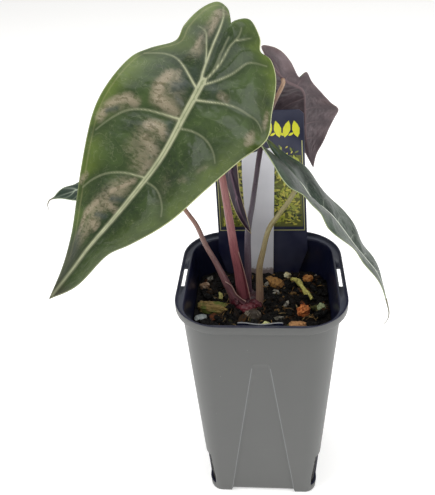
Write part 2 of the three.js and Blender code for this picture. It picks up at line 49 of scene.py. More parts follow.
import bmesh
import bpy
import numpy as np
from mathutils import Matrix, Vector, noise

MM = 0.001
rng = np.random.default_rng(20)


# Colours and shader nodes

def rgb(text):
    """A screen colour such as 6d6f71 as linear values."""
    parts = [int(text[k:k + 2], 16) / 255 for k in (0, 2, 4)]
    linear = [c / 12.92 if c <= 0.04045 else ((c + 0.055) / 1.055) ** 2.4 for c in parts]
    return (*linear, 1.0)


class Shader:
    """A material with one principled surface, and short ways to add nodes to it."""

    def __init__(self, name, **surface):
        self.material = bpy.data.materials.new(name)
        self.material.use_nodes = True
        self.tree = self.material.node_tree
        self.tree.nodes.clear()
        output = self.tree.nodes.new("ShaderNodeOutputMaterial")
        self.surface = self.tree.nodes.new("ShaderNodeBsdfPrincipled")
        self.tree.links.new(self.surface.outputs[0], output.inputs[0])
        self.set(**surface)

    def join(self, socket, value):
        if isinstance(value, bpy.types.NodeSocket):
            self.tree.links.new(value, socket)
        else:
            socket.default_value = value

    def set(self, **surface):
        for key, value in surface.items():
            self.join(self.surface.inputs[key.replace("_", " ")], value)

    def node(self, kind, options=None, **sockets):
        """A node; its sockets are named, or numbered as i0, i1 and so on."""
        made = self.tree.nodes.new("ShaderNode" + kind)
        for key, value in (options or {}).items():
            setattr(made, key, value)
        for key, value in sockets.items():
            numbered = key[0] == "i" and key[1:].isdigit()
            self.join(made.inputs[int(key[1:]) if numbered else key.replace("_", " ")], value)
        return made

    def place(self, scale=(1, 1, 1)):
        coords = self.node("TexCoord").outputs["Object"]
        return self.node("Mapping", Vector=coords, Scale=scale).outputs[0]

    def noise(self, scale, detail=3.0, rough=0.5, where=None, distort=0.0):
        """Noise with about scale features per metre."""
        return self.node("TexNoise", Vector=where or self.place(), Scale=scale, Detail=detail,
                         Roughness=rough, Distortion=distort).outputs[0]

    def attribute(self, name, output="Fac"):
        return self.node("Attribute", {"attribute_name": name}).outputs[output]

    def ramp(self, value, *stops):
        """Maps a value through (position, colour) stops; a plain number is a grey."""
        made = self.node("ValToRGB", i0=value)
        ramp = made.color_ramp
        while len(ramp.elements) < len(stops):
            ramp.elements.new(0.5)
        for element, (position, colour) in zip(ramp.elements, stops):
            element.position = position
            element.color = (colour, colour, colour, 1) if isinstance(colour, (int, float)) else colour
        return made.outputs[0]

    def fall(self, value, full, none):
        """1 up to one value and 0 past the other, softly."""
        return self.node("MapRange", {"interpolation_type": "SMOOTHSTEP"}, Value=value, From_Min=full,
                         From_Max=none, To_Min=1.0, To_Max=0.0).outputs[0]

    def mix(self, share, first, second):
        return self.node("Mix", {"data_type": "RGBA"}, i0=share, i6=first, i7=second).outputs[2]

    def paint(self, base, share, colour):
        """Lays a screen colour over the base by a share."""
        return self.mix(share, base, rgb(colour))

    def math(self, kind, first, second=0.0, clamp=False):
        return self.node("Math", {"operation": kind, "use_clamp": clamp}, i0=first, i1=second).outputs[0]

    def times(self, first, second, clamp=False):
        return self.math("MULTIPLY", first, second, clamp)

    def plus(self, first, second):
        return self.math("ADD", first, second)

    def bump(self, height, strength=0.3, depth=0.0005):
        made = self.node("Bump", Strength=strength, Distance=depth, Height=height)
        self.set(Normal=made.outputs[0])


# Meshes

def add_object(name, points, faces, materials, smooth=True, slots=None, sharp=None):
    """A mesh object from millimetre points; slots gives each face's material."""
    mesh = bpy.data.meshes.new(name)
    mesh.from_pydata((np.asarray(points) * MM).tolist(), [], [list(map(int, f)) for f in faces])
    for material in materials:
        mesh.materials.append(material)
    if slots is not None:
        mesh.polygons.foreach_set("material_index", np.asarray(slots, dtype=np.int32))
    mesh.polygons.foreach_set("use_smooth", np.full(len(mesh.polygons), smooth))
    if sharp is not None:
        mesh.set_sharp_from_angle(angle=math.radians(sharp))
    mesh.update()
    piece = bpy.data.objects.new(name, mesh)
    bpy.context.scene.collection.objects.link(piece)
    return piece


def add_values(piece, name, values):
    """A number for each point of the mesh, for its material to read."""
    layer = piece.data.attributes.new(name, "FLOAT", "POINT")
    layer.data.foreach_set("value", np.asarray(values, dtype=np.float32))


def settle(piece, slot, *nodes):
    """The piece rides with the plant and stands for CAD nodes; its slot is not used."""
    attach(piece, "root")
    if nodes:
        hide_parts(*nodes)
    return piece


def ring_faces(rows, count):
    """Quads between rows of points, anticlockwise from outside when the rows rise."""
    faces = []
    for low in range(0, (rows - 1) * count, count):
        for k in range(count):
            nxt = (k + 1) % count
            faces.append((low + k, low + nxt, low + count + nxt, low + count + k))
    return faces


def capped_faces(rows, count, points):
    """Quads between rows, and a fan at each end to the last two points."""
    foot, tip, last = len(points) - 2, len(points) - 1, (rows - 1) * count
    return (ring_faces(rows, count) + [(foot, (k + 1) % count, k) for k in range(count)]
            + [(tip, last + k, last + (k + 1) % count) for k in range(count)])


def join_part(points, faces, part):
    """Adds another mesh's points and faces to these lists."""
    first = len(points)
    points += [tuple(p) for p in part[0]]
    faces += [tuple(first + k for k in f) for f in part[1]]


def unit(v):
    v = np.asarray(v, dtype=float)
    return v / np.maximum(np.linalg.norm(v, axis=-1, keepdims=True), 1e-9)


def smoothstep(low, high, x):
    t = np.clip((np.asarray(x, dtype=float) - low) / (high - low), 0, 1)
    return t * t * (3 - 2 * t)


class Path:
    """A smooth curve through points, read by its share of length."""

    def __init__(self, points, steps=40):
        points = [np.array(p, dtype=float) for p in points]
        track = []
        for k in range(len(points) - 1):
            p1, p2 = points[k], points[k + 1]
            p0 = points[k - 1] if k > 0 else 2 * p1 - p2
            p3 = points[k + 2] if k + 2 < len(points) else 2 * p2 - p1
            d0, d1, d2 = (max(np.sum((a - b) ** 2) ** 0.25, 1e-4) for a, b in ((p0, p1), (p1, p2), (p2, p3)))
            t1 = ((p1 - p0) / d0 - (p2 - p0) / (d0 + d1) + (p2 - p1) / d1) * d1
            t2 = ((p2 - p1) / d1 - (p3 - p1) / (d1 + d2) + (p3 - p2) / d2) * d1
            for w in (step / steps for step in range(steps)):
                track.append(p1 + t1 * w + (3 * (p2 - p1) - 2 * t1 - t2) * w ** 2
                             + (2 * (p1 - p2) + t1 + t2) * w ** 3)
        track.append(points[-1])
        self.track = np.array(track)
        lengths = np.linalg.norm(np.diff(self.track, axis=0), axis=1)
        run = np.concatenate([[0], np.cumsum(lengths)])
        self.length = run[-1]
        self.share = run / self.length

    def at(self, t):
        return np.stack([np.interp(t, self.share, self.track[:, k]) for k in range(3)], axis=-1)

    def heading(self, t):
        step = 0.004
        ahead = self.at(np.minimum(np.asarray(t) + step, 1)) - self.at(np.maximum(np.asarray(t) - step, 0))
        return unit(ahead)


def tube_mesh(points, radii, sides, steps, wobble=0.0, seed=0):
    """A capped tube along a path, its rings kept from twisting; also each point's share and angle."""
    path = Path(points)
    t = np.linspace(0, 1, steps + 1)
    centre, ahead = path.at(t), path.heading(t)
    side = np.zeros_like(centre)
    start = np.cross(ahead[0], [0.0, 1.0, 0.0])
    if np.linalg.norm(start) < 0.1:
        start = np.cross(ahead[0], [1.0, 0.0, 0.0])
    side[0] = unit(start)
    for k in range(1, steps + 1):
        side[k] = unit(side[k - 1] - ahead[k] * np.dot(side[k - 1], ahead[k]))
    up = np.cross(ahead, side)
    draw = np.random.default_rng(seed)
    radius = np.interp(t, np.linspace(0, 1, len(radii)), radii)[:, None]
    radius = (radius * (1 + wobble * draw.standard_normal((steps + 1, 1)) * 0.5))[..., None]
    angle = np.linspace(0, 2 * np.pi, sides, endpoint=False)
    ring = centre[:, None] + radius * (
        np.cos(angle)[None, :, None] * side[:, None] + np.sin(angle)[None, :, None] * up[:, None])
    verts = np.concatenate([ring.reshape(-1, 3), centre[:1], centre[-1:]])
    along = np.concatenate([np.repeat(t, sides), [0, 1]])
    around = np.concatenate([np.tile(angle, steps + 1), [0, 0]])
    return verts, capped_faces(steps + 1, sides, verts), along, around


def block(xs, ys, zs):
    points = [(x, y, z) for z in zs for y in ys for x in xs]
    return points, [(0, 2, 3, 1), (4, 5, 7, 6), (0, 1, 5, 4), (1, 3, 7, 5), (3, 2, 6, 7), (2, 0, 4, 6)]


def rod(centre, radius, low, high, sides=24):
    ring = [(centre[0] + radius * math.cos(a), centre[1] + radius * math.sin(a))
            for a in np.linspace(0, 2 * math.pi, sides, endpoint=False)]
    points = [(x, y, z) for z in (low, high) for x, y in ring]
    return points, ring_faces(2, sides) + [tuple(range(sides - 1, -1, -1)), tuple(range(sides, 2 * sides))]


def merge(parts, name, materials, smooth=False):
    points, faces = [], []
    for part in parts:
        join_part(points, faces, part)
    return add_object(name, points, faces, materials, smooth=smooth)


def carve(piece, cutter):
    """Cuts one mesh out of another for good."""
    tool = piece.modifiers.new("cut", "BOOLEAN")
    tool.operation = "DIFFERENCE"
    tool.solver = "EXACT"
    tool.object = cutter
    bpy.context.view_layer.update()
    ready = piece.evaluated_get(bpy.context.evaluated_depsgraph_get())
    mesh = bpy.data.meshes.new_from_object(ready)
    piece.modifiers.clear()
    piece.data = mesh
    bpy.data.objects.remove(cutter)


def lump(size, turn, seed, detail, rough, flat=0.0, grain=0.0):
    """A broken lump about its own middle: points and triangles."""
    work = bmesh.new()
    bmesh.ops.create_icosphere(work, subdivisions=detail, radius=1.0)
    points = [v.co.copy() for v in work.verts]
    faces = [tuple(v.index for v in f.verts) for f in work.faces]
    work.free()
    shift = Vector((seed * 3.7, seed * 1.3, seed * 2.1))
    out = []
    for v in points:
        knock = 1 + rough * noise.noise(v * 1.3 + shift) + rough * 0.5 * noise.noise(v * 3.1 + shift)
        knock += rough * 0.25 * noise.noise(v * 7.0 + shift)
        if grain:
            knock += grain * noise.noise(Vector((v.x * 1.2, v.y * 9, v.z * 9)) + shift)
        q = v * knock
        if flat:
            q = Vector([math.copysign(abs(c) ** (1 - flat), c) for c in q])
        out.append((q.x * size[0], q.y * size[1], q.z * size[2]))
    x, y, z = np.array(out).T
    c, s = math.cos(math.radians(turn)), math.sin(math.radians(turn))
    return np.stack([x * c - y * s, x * s + y * c, z], axis=1), faces


def tilt(points, about_x, about_y):
    a, b = math.radians(about_x), math.radians(about_y)
    x, y, z = points.T
    y, z = y * math.cos(a) - z * math.sin(a), y * math.sin(a) + z * math.cos(a)
    x, z = x * math.cos(b) + z * math.sin(b), -x * math.sin(b) + z * math.cos(b)
    return np.stack([x, y, z], axis=1)


# The pot: rows of points round a rounded square, with a shallow tapering panel on each side

POT = SimpleNamespace(height=160, rim_half=50, rim_radius=28, band=5.2, rim_wall=1.3, ledge_drop=2.5,
                      ledge_thick=1.3, top_half=45.7, top_radius=19.4, base_half=36.3, base_radius=8,
                      wall=1.4, foot=1.8, floor_top=3.4, foot_width=3.2)
PANEL = SimpleNamespace(top_z=127, top_half=5, base_half=21.7, depth=1.2, top_depth=0.15, line_rise=0.14)
SIDE_SLOT = SimpleNamespace(inner=46.1, outer=48.3, y=(-9, 10.5))
DRAIN_SLOT = SimpleNamespace(x=(32.6, 60), y=(24.5, 36), z=(7, 37))
FLOOR_HOLE = SimpleNamespace(radius=3.5, place=20)
PAD_HALF = 7
STRAP = SimpleNamespace(half=12.5, z=157.0, thick=1.0, height=1.8, stand=2.6, sag=3.6, steps=33)
UNDER_LEDGE = POT.height - POT.ledge_drop - POT.ledge_thick
LEDGE = POT.height - POT.ledge_drop
CORNER_STEPS = 12
SIDE_MARKS = 15


def wall_at(z, grow=0.0):
    """Half width and corner radius of the outer wall at a height, and more or less by grow."""
    share = z / UNDER_LEDGE
    return (POT.base_half + (POT.top_half - POT.base_half) * share + grow,
            POT.base_radius + (POT.top_radius - POT.base_radius) * share + grow)


def square_row(half, radius, z, panel=0.0, lift=0.0):
    """One row round the pot from its right side, anticlockwise; the same count of points at every height."""
    flat = half - radius
    share = min(max(z / PANEL.top_z, 0), 1)
    line = PANEL.base_half + (PANEL.top_half - PANEL.base_half) * share
    right = [line * 0.5, line - 1.6, line - 0.5, line - 0.22, line + 0.22, line + 0.5, line + 1.4]
    marks = [-m for m in reversed(right)] + [0.0] + right
    rise = -PANEL.line_rise
    depth = [0, 0, rise, rise] + [panel] * 7 + [rise, rise, 0, 0] if panel else [0.0] * SIDE_MARKS
    side = []
    for mark, deep in zip(marks, depth):
        mark = min(max(mark, -flat * 0.98), flat * 0.98)
        side.append((half - deep, mark, z + (lift if abs(mark) < PANEL.base_half else 0.0)))
    for step in range(CORNER_STEPS + 1):
        angle = step / CORNER_STEPS * math.pi / 2
        side.append((flat + radius * math.cos(angle), flat + radius * math.sin(angle), z))
    row = []
    for quarter in range(4):
        c, s = math.cos(quarter * math.pi / 2), math.sin(quarter * math.pi / 2)
        row += [(x * c - y * s, x * s + y * c, zz) for x, y, zz in side]
    return row


def make_pot(outside, inside, shelf, line):
    """The pot as one closed mesh, with its side slots, drain slots and floor holes cut out."""
    top, low, foot = POT.height, POT.height - POT.band, POT.foot
    base = (POT.base_half, POT.base_radius)
    outer = (POT.rim_half, POT.rim_radius)
    inner = (POT.rim_half - POT.rim_wall, POT.rim_radius - POT.rim_wall)
    mouth = (POT.top_half, POT.top_radius)
    rows = []

    def add_row(shape, grow, *more):
        rows.append(square_row(shape[0] + grow, shape[1] + grow, *more))

    for grow, z, panel, lift in ((-POT.foot_width, foot, 0, 0), (-POT.foot_width, 0.2, 0, foot - 0.2),
                                 (0.3 - POT.foot_width, 0, 0, foot), (-0.8, 0, 1.2, foot),
                                 (-0.3, 0.2, 1.2, foot - 0.1)):
        add_row(base, grow, z, panel, lift)
    add_row(wall_at(0.8), 0, 0.8, 1.2, foot - 0.5)
    for z in np.concatenate([[3.0], np.linspace(8, 120, 24), [124, 126.4, 127.0]]):
        deep = PANEL.depth + (PANEL.top_depth - PANEL.depth) * min(z / PANEL.top_z, 1)
        add_row(wall_at(z), 0, z, deep if z < 126.9 else 0.001)
    for z in (127.6, 129, 134, 140, 146, 151, 154.4, UNDER_LEDGE - 0.7):
        add_row(wall_at(z), 0, z)
    add_row(wall_at(UNDER_LEDGE), 0.5, UNDER_LEDGE)
    outer_rows = len(rows) + 10
    for shape, grow, z in (
            (inner, -0.3, UNDER_LEDGE), (inner, 0, UNDER_LEDGE - 0.3), (inner, 0, low + 0.1),
            (inner, 0.15, low), (outer, -0.35, low), (outer, -0.1, low + 0.12), (outer, 0, low + 0.4),
            (outer, 0, low + 2.6), (outer, 0, top - 0.5), (outer, -0.12, top - 0.15), (outer, -0.42, top),
            (inner, 0.42, top), (inner, 0.12, top - 0.15), (inner, 0, top - 0.5), (inner, 0, LEDGE + 0.5),
            (inner, -0.15, LEDGE + 0.15), (inner, -0.5, LEDGE), (mouth, -0.2, LEDGE),
            (mouth, -0.7, LEDGE - 0.1), (mouth, -1.1, LEDGE - 0.5)):
        add_row(shape, grow, z)
    for z in (156, 150, 140, 130, 110, 80, 50, 25, 8, POT.floor_top + 1):
        add_row(wall_at(z), -POT.wall, z)
    add_row(wall_at(POT.floor_top), -POT.wall - 0.6, POT.floor_top)
    count = len(rows[0])
    points = [p for row in rows for p in row] + [(0, 0, foot), (0, 0, POT.floor_top)]
    shelf_row = outer_rows + 3
    slots = []
    for k in range((len(rows) - 1) * count):
        row = k // count
        # Faces along the panel edges take slot 3, a paler grey that paints a highlight on those edges
        on_highlight_line = k % count % (SIDE_MARKS + CORNER_STEPS + 1) in (2, 11) and 5 <= row < 31
        on_shelf = shelf_row <= row < shelf_row + 5
        slots.append(3 if on_highlight_line else 0 if row < outer_rows - 1 else 2 if on_shelf else 1)
    slots += [0] * count + [1] * count
    faces = capped_faces(len(rows), count, points)
    pot = add_object("pot_body", points, faces, [outside, inside, shelf, line], slots=slots)
    cutters = []
    for sx in (-1, 1):
        slot_x = sorted((SIDE_SLOT.inner * sx, SIDE_SLOT.outer * sx))
        cutters.append(block(slot_x, SIDE_SLOT.y, (UNDER_LEDGE - 1, LEDGE + 1)))
        for sy in (-1, 1):
            drain_x, drain_y = sorted(x * sx for x in DRAIN_SLOT.x), sorted(y * sy for y in DRAIN_SLOT.y)
            cutters.append(block(drain_x, drain_y, DRAIN_SLOT.z))
            cutters.append(rod((FLOOR_HOLE.place * sx, FLOOR_HOLE.place * sy), FLOOR_HOLE.radius, -1, 6))
    carve(pot, merge(cutters, "pot_cutters", [inside]))
    return pot


def strap_mesh():
    """The bowed strap inside the front of the rim that holds a label; its last two faces are the ends."""
    back = wall_at(STRAP.z)[0] - POT.wall
    thick, height = STRAP.thick, STRAP.height
    points = []
    for t in np.linspace(-1, 1, STRAP.steps):
        y = -back - 0.5 + (STRAP.stand + 0.5) * (1 - t ** 4)
        z = STRAP.z - STRAP.sag * (1 - t * t)
        for dy, dz in ((0.15, 0), (0, 0.15), (0, height - 0.15), (0.15, height), (thick - 0.15, height),
                       (thick, height - 0.15), (thick, 0.15), (thick - 0.15, 0)):
            points.append((t * STRAP.half, y + dy, z + dz))
    faces = [f[::-1] for f in ring_faces(STRAP.steps, 8)]
    return points, faces + [tuple(range(8)), tuple(range(len(points) - 1, len(points) - 9, -1))]


# The leaves: margins and midline as in the model, seen on the upper side with the tip down

BLADES = {
    "a": dict(
        left=[[-14, 21, 303], [-16, 27, 309], [-21, 30, 312], [-29, 28, 310], [-38, 20, 303], [-42, 14, 297],
              [-55, 10, 295], [-64, 8, 292], [-78, -4, 279], [-84, -12, 269], [-89, -28, 248],
              [-92, -38, 233], [-94, -49, 219], [-98, -58, 207], [-105, -68, 193]],
        middle=[[-14, 21, 303], [-21, 8, 291], [-29, -5, 279], [-36, -14, 269], [-49, -28, 250],
                [-70, -46, 229], [-84, -56, 216], [-92, -61, 207], [-105, -68, 193]],
        right=[[-14, 21, 303], [-10, 24, 304], [-4, 28, 303], [1, 25, 294], [1, 21, 288], [6, 22, 283],
               [9, 17, 274], [7, 7, 259], [4, -1, 248], [-10, -12, 241], [-28, -24, 230], [-46, -37, 219],
               [-65, -47, 212], [-76, -52, 209], [-92, -63, 197], [-105, -68, 193]],
        attach=2, rows=36, columns=6, arch=0.07, quilt=2.6, waves=6, wave=0.9, rib=0.8, fine=(290, 66),
        rib_from=0.205, crinkle=0.34),
    "b": dict(
        left=[[5, 46, 275], [1, 50, 283], [7, 53, 282], [12, 54, 279], [18, 56, 271], [23, 58, 262],
              [27, 63, 264], [31, 63, 257], [43, 68, 242.5], [47, 70, 239], [48.2, 71, 236.5], [46, 71, 230],
              [40, 70, 216], [36, 69, 208], [34, 69, 197]],
        middle=[[5, 46, 275], [14, 50, 263], [25, 57, 254], [27, 62, 241], [28, 66, 224], [30, 68, 210],
                [34, 69, 197]],
        right=[[5, 46, 275], [-7, 52, 275], [-10, 56, 262], [-7, 60, 248], [2, 64, 233], [14, 67, 221],
               [25, 68, 213], [34, 69, 197]],
        attach=1, rows=26, columns=4, arch=0.05, quilt=1.3, waves=5, wave=0.9, rib=0.35, fine=(200, 48),
        crinkle=0.5),
    "c": dict(
        left=[[15, 4, 226], [9, -2, 237], [1, -8, 248], [8, -18, 240], [16, -22, 231], [22, -23, 227],
              [27, -23, 220], [32, -23, 215], [37, -22, 206], [44, -20, 197], [53, -17, 187], [63, -12, 170],
              [71, -8, 156], [76, -6, 141]],
        middle=[[15, 4, 226], [23, 2, 220], [29, 1, 211], [40, 0, 201], [47, -1, 192], [54, -2, 182],
                [61, -3, 173], [68, -4, 164], [73, -5, 152], [76, -6, 141]],
        right=[[15, 4, 226], [11, 12, 230], [3, 24, 237], [11, 30, 229], [25, 30, 218], [34, 28, 207],
               [42, 26, 198], [51, 24, 188], [57, 20, 182], [62, 16, 171], [68, 10, 164], [71, 5, 160],
               [73, 0, 153], [76, -6, 141]],
        attach=1, rows=30, columns=4, arch=0.03, quilt=0.45, waves=6, wave=0.6, rib=0.5, fine=(220, 36),
        crinkle=0.2),
    "d": dict(
        left=[[-59, 27, 227], [-52, 36, 232], [-68, 44, 231], [-85, 46, 222], [-101, 42, 212],
              [-117, 37, 204], [-125, 33, 203], [-132, 29, 197]],
        middle=[[-59, 27, 227], [-66, 27, 225], [-85, 30, 218], [-102, 31, 209], [-116, 31, 202],
                [-126, 30, 199], [-132, 29, 197]],
        right=[[-59, 27, 227], [-48, 18, 225], [-61, 12, 217], [-80, 12, 211], [-97, 17, 204],
               [-116, 24, 199], [-126, 28, 198], [-132, 29, 197]],
        attach=1, rows=24, columns=4, arch=0.05, quilt=0.9, waves=5, wave=0.6, rib=0.7, fine=(130, 32)),
    "e": dict(
        left=[[-20, 11, 253], [-18, 14, 257], [-15, 15, 244], [-13, 16, 225], [-12, 16, 208], [-9, 16, 194],
              [-7, 16, 184], [-6, 14, 180]],
        middle=[[-20, 11, 253], [-20, 12, 243], [-18, 13, 227], [-15, 14, 210], [-12, 14, 195],
                [-6, 14, 180]],
        right=[[-20, 11, 253], [-22, 14, 257], [-24, 15, 244], [-22, 16, 229], [-19, 16, 209], [-15, 16, 194],
               [-10, 16, 184], [-6, 14, 180]],
        attach=1, rows=18, columns=3, arch=0.02, quilt=0.15, waves=4, wave=0.3, rib=0.3, fine=(120, 14)),
}
MARGIN_LEAD = 0.74
BLADE_THICK = 0.7
SHEET_THICK = 0.5
RIDGE_HEIGHT = 0.28
PILLOW_REACH = 7.0

# Side veins of the largest leaf: a width, then shares along the midrib and out to the margin (left is minus)
VEINS_A = [
    (1.2, [(0.23, 0), (0.12, -0.16), (0.06, -0.22), (0.02, -0.9)]),
    (0.6, [(0.158, -0.11), (0.122, -0.26), (0.092, -0.42), (0.085, -0.57), (0.088, -0.71)]),
    (0.9, [(0.215, 0.0), (0.15, 0.09), (0.09, 0.16), (0.06, 0.3), (0.03, 0.48)]),
    (0.4, [(0.06, 0.3), (0.05, 0.73)]),
    (0.3, [(0.185, 0.05), (0.155, 0.06), (0.103, 0.06), (0.05, 0.11)]),
    (0.9, [(0.222, 0.0), (0.16, 0.29), (0.12, 0.48), (0.11, 0.85)]),
    (1.1, [(0.272, 0), (0.258, 0.14), (0.242, 0.31), (0.233, 0.49), (0.233, 0.65), (0.235, 0.8),
           (0.25, 0.9)]),
    (0.2, [(0.368, 0), (0.352, 0.2), (0.35, 0.42), (0.365, 0.62), (0.385, 0.76)]),
    (-0.2, [(0.55, 0), (0.545, 0.3), (0.568, 0.62), (0.59, 0.78)]),
    (1.2, [(0.24, 0), (0.2, -0.38), (0.19, -0.62), (0.2, -0.81), (0.22, -0.93)]),
    (1.0, [(0.34, 0), (0.35, -0.25), (0.36, -0.45), (0.38, -0.62), (0.41, -0.74), (0.46, -0.9)]),
    (0.6, [(0.54, 0), (0.55, -0.34), (0.57, -0.57), (0.6, -0.76), (0.63, -0.9)]),
]


def side_veins(count, start=0.12, sweep=0.05):
    """Evenly spaced side veins on both halves, each bending a little towards the tip."""
    veins = [[(start, 0), (start * 0.55, 0.3), (0.03, 0.8)], [(start, 0), (start * 0.55, -0.3), (0.03, -0.8)]]
    for k in range(count):
        t = start + 0.05 + (0.82 - start) * (k / count) ** 1.05
        for sign in (-1, 1):
            root = t + (0.02 if sign > 0 else 0.0)
            veins.append([(root, 0), (root + sweep * 0.2, 0.35 * sign), (root + sweep, 0.93 * sign)])
    return [(1.3, line) for line in veins]


def blade_sheet(spec, t, s, relief=None):
    """Midplane points of a blade at shares along (t) and across (s), and its reach to the margin."""
    left, middle, right = (Path(spec[k]) for k in ("left", "middle", "right"))
    lead = t ** MARGIN_LEAD
    m, l, r = middle.at(t), left.at(lead), right.at(lead)
    normal = unit(np.cross(middle.heading(t), r - l))
    reach_l, reach_r = (np.linalg.norm(x - m, axis=1) for x in (l, r))
    side = s[None, :] < 0
    share = np.abs(s)[None, :]
    reach = np.where(side, reach_l[:, None], reach_r[:, None])
    margin = np.where(side[..., None], l[:, None], r[:, None])
    base = m[:, None] * (1 - share[..., None]) + margin * share[..., None]
    body = np.sin(np.pi * share)
    taper = np.minimum(1, reach / 12)
    ripple = np.cos(2 * np.pi * spec["waves"] * t[:, None] + np.where(side, 0.6, 0.0))
    swing = np.sin(2 * np.pi * spec["waves"] * 0.8 * lead[:, None] + np.where(side, 1.1, 2.4))
    quilt = spec["quilt"] * body * ripple if relief is None else relief
    lift = spec["arch"] * reach * body + taper * (quilt + spec["wave"] * share ** 3 * swing)
    return base + normal[:, None] * lift[..., None], reach


def sheet_normals(grid):
    normals = np.cross(np.gradient(grid, axis=0), np.gradient(grid, axis=1))
    for end in (0, -1):
        normals[end] = normals[end].sum(axis=0)
    return unit(normals)


def vein_distance(points, lines, widths):
    """Millimetres from each point to the side of its nearest vein, and to that vein's middle."""
    flat = points.reshape(-1, 3)
    best, middle = np.full(len(flat), 1e3), np.full(len(flat), 1e3)
    for line, width in zip(lines, widths):
        for a, b, wa, wb in zip(line[:-1], line[1:], width[:-1], width[1:]):
            run = b - a
            u = np.clip(((flat - a) @ run) / max(run @ run, 1e-9), 0, 1)
            d = np.linalg.norm(flat - a - u[:, None] * run, axis=1)
            best = np.minimum(best, d - (wa + (wb - wa) * u))
            middle = np.minimum(middle, d)
    return best.reshape(points.shape[:2]), middle.reshape(points.shape[:2])


def blade_tone(plain, rows, columns):
    """Slow noise over the blade, worked out at every fourth point and filled in between."""
    tone = np.array([[noise.noise(Vector(p * 0.06)) + 0.5 * noise.noise(Vector(p * 0.17)) for p in row[::4]]
                     for row in plain[::4]])
    wide = np.array([np.interp(np.arange(columns), np.arange(0, columns, 4), row) for row in tone])
    return np.array([np.interp(np.arange(rows + 1), np.arange(0, rows + 1, 4), wide[:, k])
                     for k in range(columns)]).T


def thin_shell(top, low, turned=False):
    """A thin body between two grids of points, its lower side in slot 1; turned winds its rim backwards."""
    rows, count = top.shape[0] - 1, top.shape[1]
    under = (rows + 1) * count
    faces, slots = [], []

    def rim(a, b, flip):
        quad = (a, under + a, under + b, b)
        faces.append(quad[::-1] if flip != turned else quad)
        slots.append(0)

    for i in range(rows):
        for j in range(count - 1):
            a, b, c, d = i * count + j, i * count + j + 1, (i + 1) * count + j + 1, (i + 1) * count + j
            faces.extend([(a, d, c, b), (under + a, under + b, under + c, under + d)])
            slots.extend([0, 1])
        rim(i * count, (i + 1) * count, False)
        rim(i * count + count - 1, (i + 1) * count + count - 1, True)
    for i, flip in ((0, True), (rows, False)):
        for j in range(count - 1):
            rim(i * count + j, i * count + j + 1, flip)
    return np.concatenate([top.reshape(-1, 3), low.reshape(-1, 3)]), faces, slots


def make_blade(key, veins, rib_width, vein_width, upper, lower):
    """A leaf as one closed thin sheet, puffed up between its veins, with the veins as low ridges."""
    spec = BLADES[key]
    rows, half = spec["fine"]
    t = np.linspace(0, 1, rows + 1)
    s = np.sin(np.linspace(-1, 1, 2 * half + 1) * np.pi / 2 * 0.94) / math.sin(np.pi / 2 * 0.94)
    plain, _ = blade_sheet(spec, t, s, relief=0.0)
    length = Path(spec["middle"]).length

    def on_blade(tt, ss):
        row = np.clip(np.interp(tt, t, np.arange(rows + 1)), 0, rows)
        col = np.clip(np.interp(ss, s, np.arange(2 * half + 1)), 0, 2 * half)
        i, j = np.minimum(row.astype(int), rows - 1), np.minimum(col.astype(int), 2 * half - 1)
        u, w = (row - i)[:, None], (col - j)[:, None]
        return ((plain[i, j] * (1 - u) + plain[i + 1, j] * u) * (1 - w)
                + (plain[i, j + 1] * (1 - u) + plain[i + 1, j + 1] * u) * w)

    rib_t = np.linspace(spec.get("rib_from", 0.0), 0.985, 60)
    lines = [on_blade(rib_t, np.zeros(60))]
    widths = [np.interp(rib_t, [0, 0.2, 0.7, 0.985], rib_width * np.array([0.7, 1, 0.45, 0.05]))]
    for share, vein in veins:
        run = Path([(a, b, 0) for a, b in vein]).at(np.linspace(0, 1, 26))
        lines.append(on_blade(run[:, 0], run[:, 1]))
        widths.append(np.linspace(vein_width * share, -0.25, 26))
    side, core = vein_distance(plain, lines, widths)
    spine, _ = vein_distance(plain, lines[:1], widths[:1])
    share = np.abs(s)[None, :]
    fade = np.clip(1.15 * (1 - share), 0, 1) ** 0.5
    pillow = (1 - np.exp(-(core / PILLOW_REACH) ** 2)) * fade - 0.25
    tone = blade_tone(plain, rows, 2 * half + 1)
    crinkle = np.array([[noise.noise(Vector((a * 0.3, b * 7, 3)))
                         + 0.55 * noise.noise(Vector((a * 0.62, b * 17, 9))) for b in s] for a in t * length])
    crinkle *= spec.get("crinkle", 0.16) * fade * np.clip(core / 2, 0, 1) * smoothstep(0.08, 0.3, t)[:, None]
    grid, reach = blade_sheet(spec, t, s, spec["quilt"] * (pillow + 0.22 * tone * fade) + crinkle)
    slim = np.clip(reach / 5, 0, 1)
    ridge = np.clip(-side / 0.6, 0, 1) * RIDGE_HEIGHT * slim
    rib = np.exp(-(core / 1.4) ** 2) * spec["rib"] * (1 - t[:, None]) * (share < 0.25) * slim
    edge = (1 - share) * reach
    body = np.clip(edge / 1.0, 0.35, 1) ** 0.5 * SHEET_THICK / 2
    normals = sheet_normals(grid)
    top = grid + normals * (body + ridge)[..., None]
    low = grid - normals * (body + ridge * 0.6 + rib)[..., None]
    points, faces, slots = thin_shell(top, low)
    piece = add_object(f"leaf_{key}", points, faces, [upper, lower], slots=slots)
    for name, values in (("vein", side), ("core", core), ("spine", spine), ("edge", edge),
                         ("along", t[:, None]), ("across", s[None, :])):
        add_values(piece, name, np.tile(np.broadcast_to(values, side.shape).ravel(), 2))
    return piece


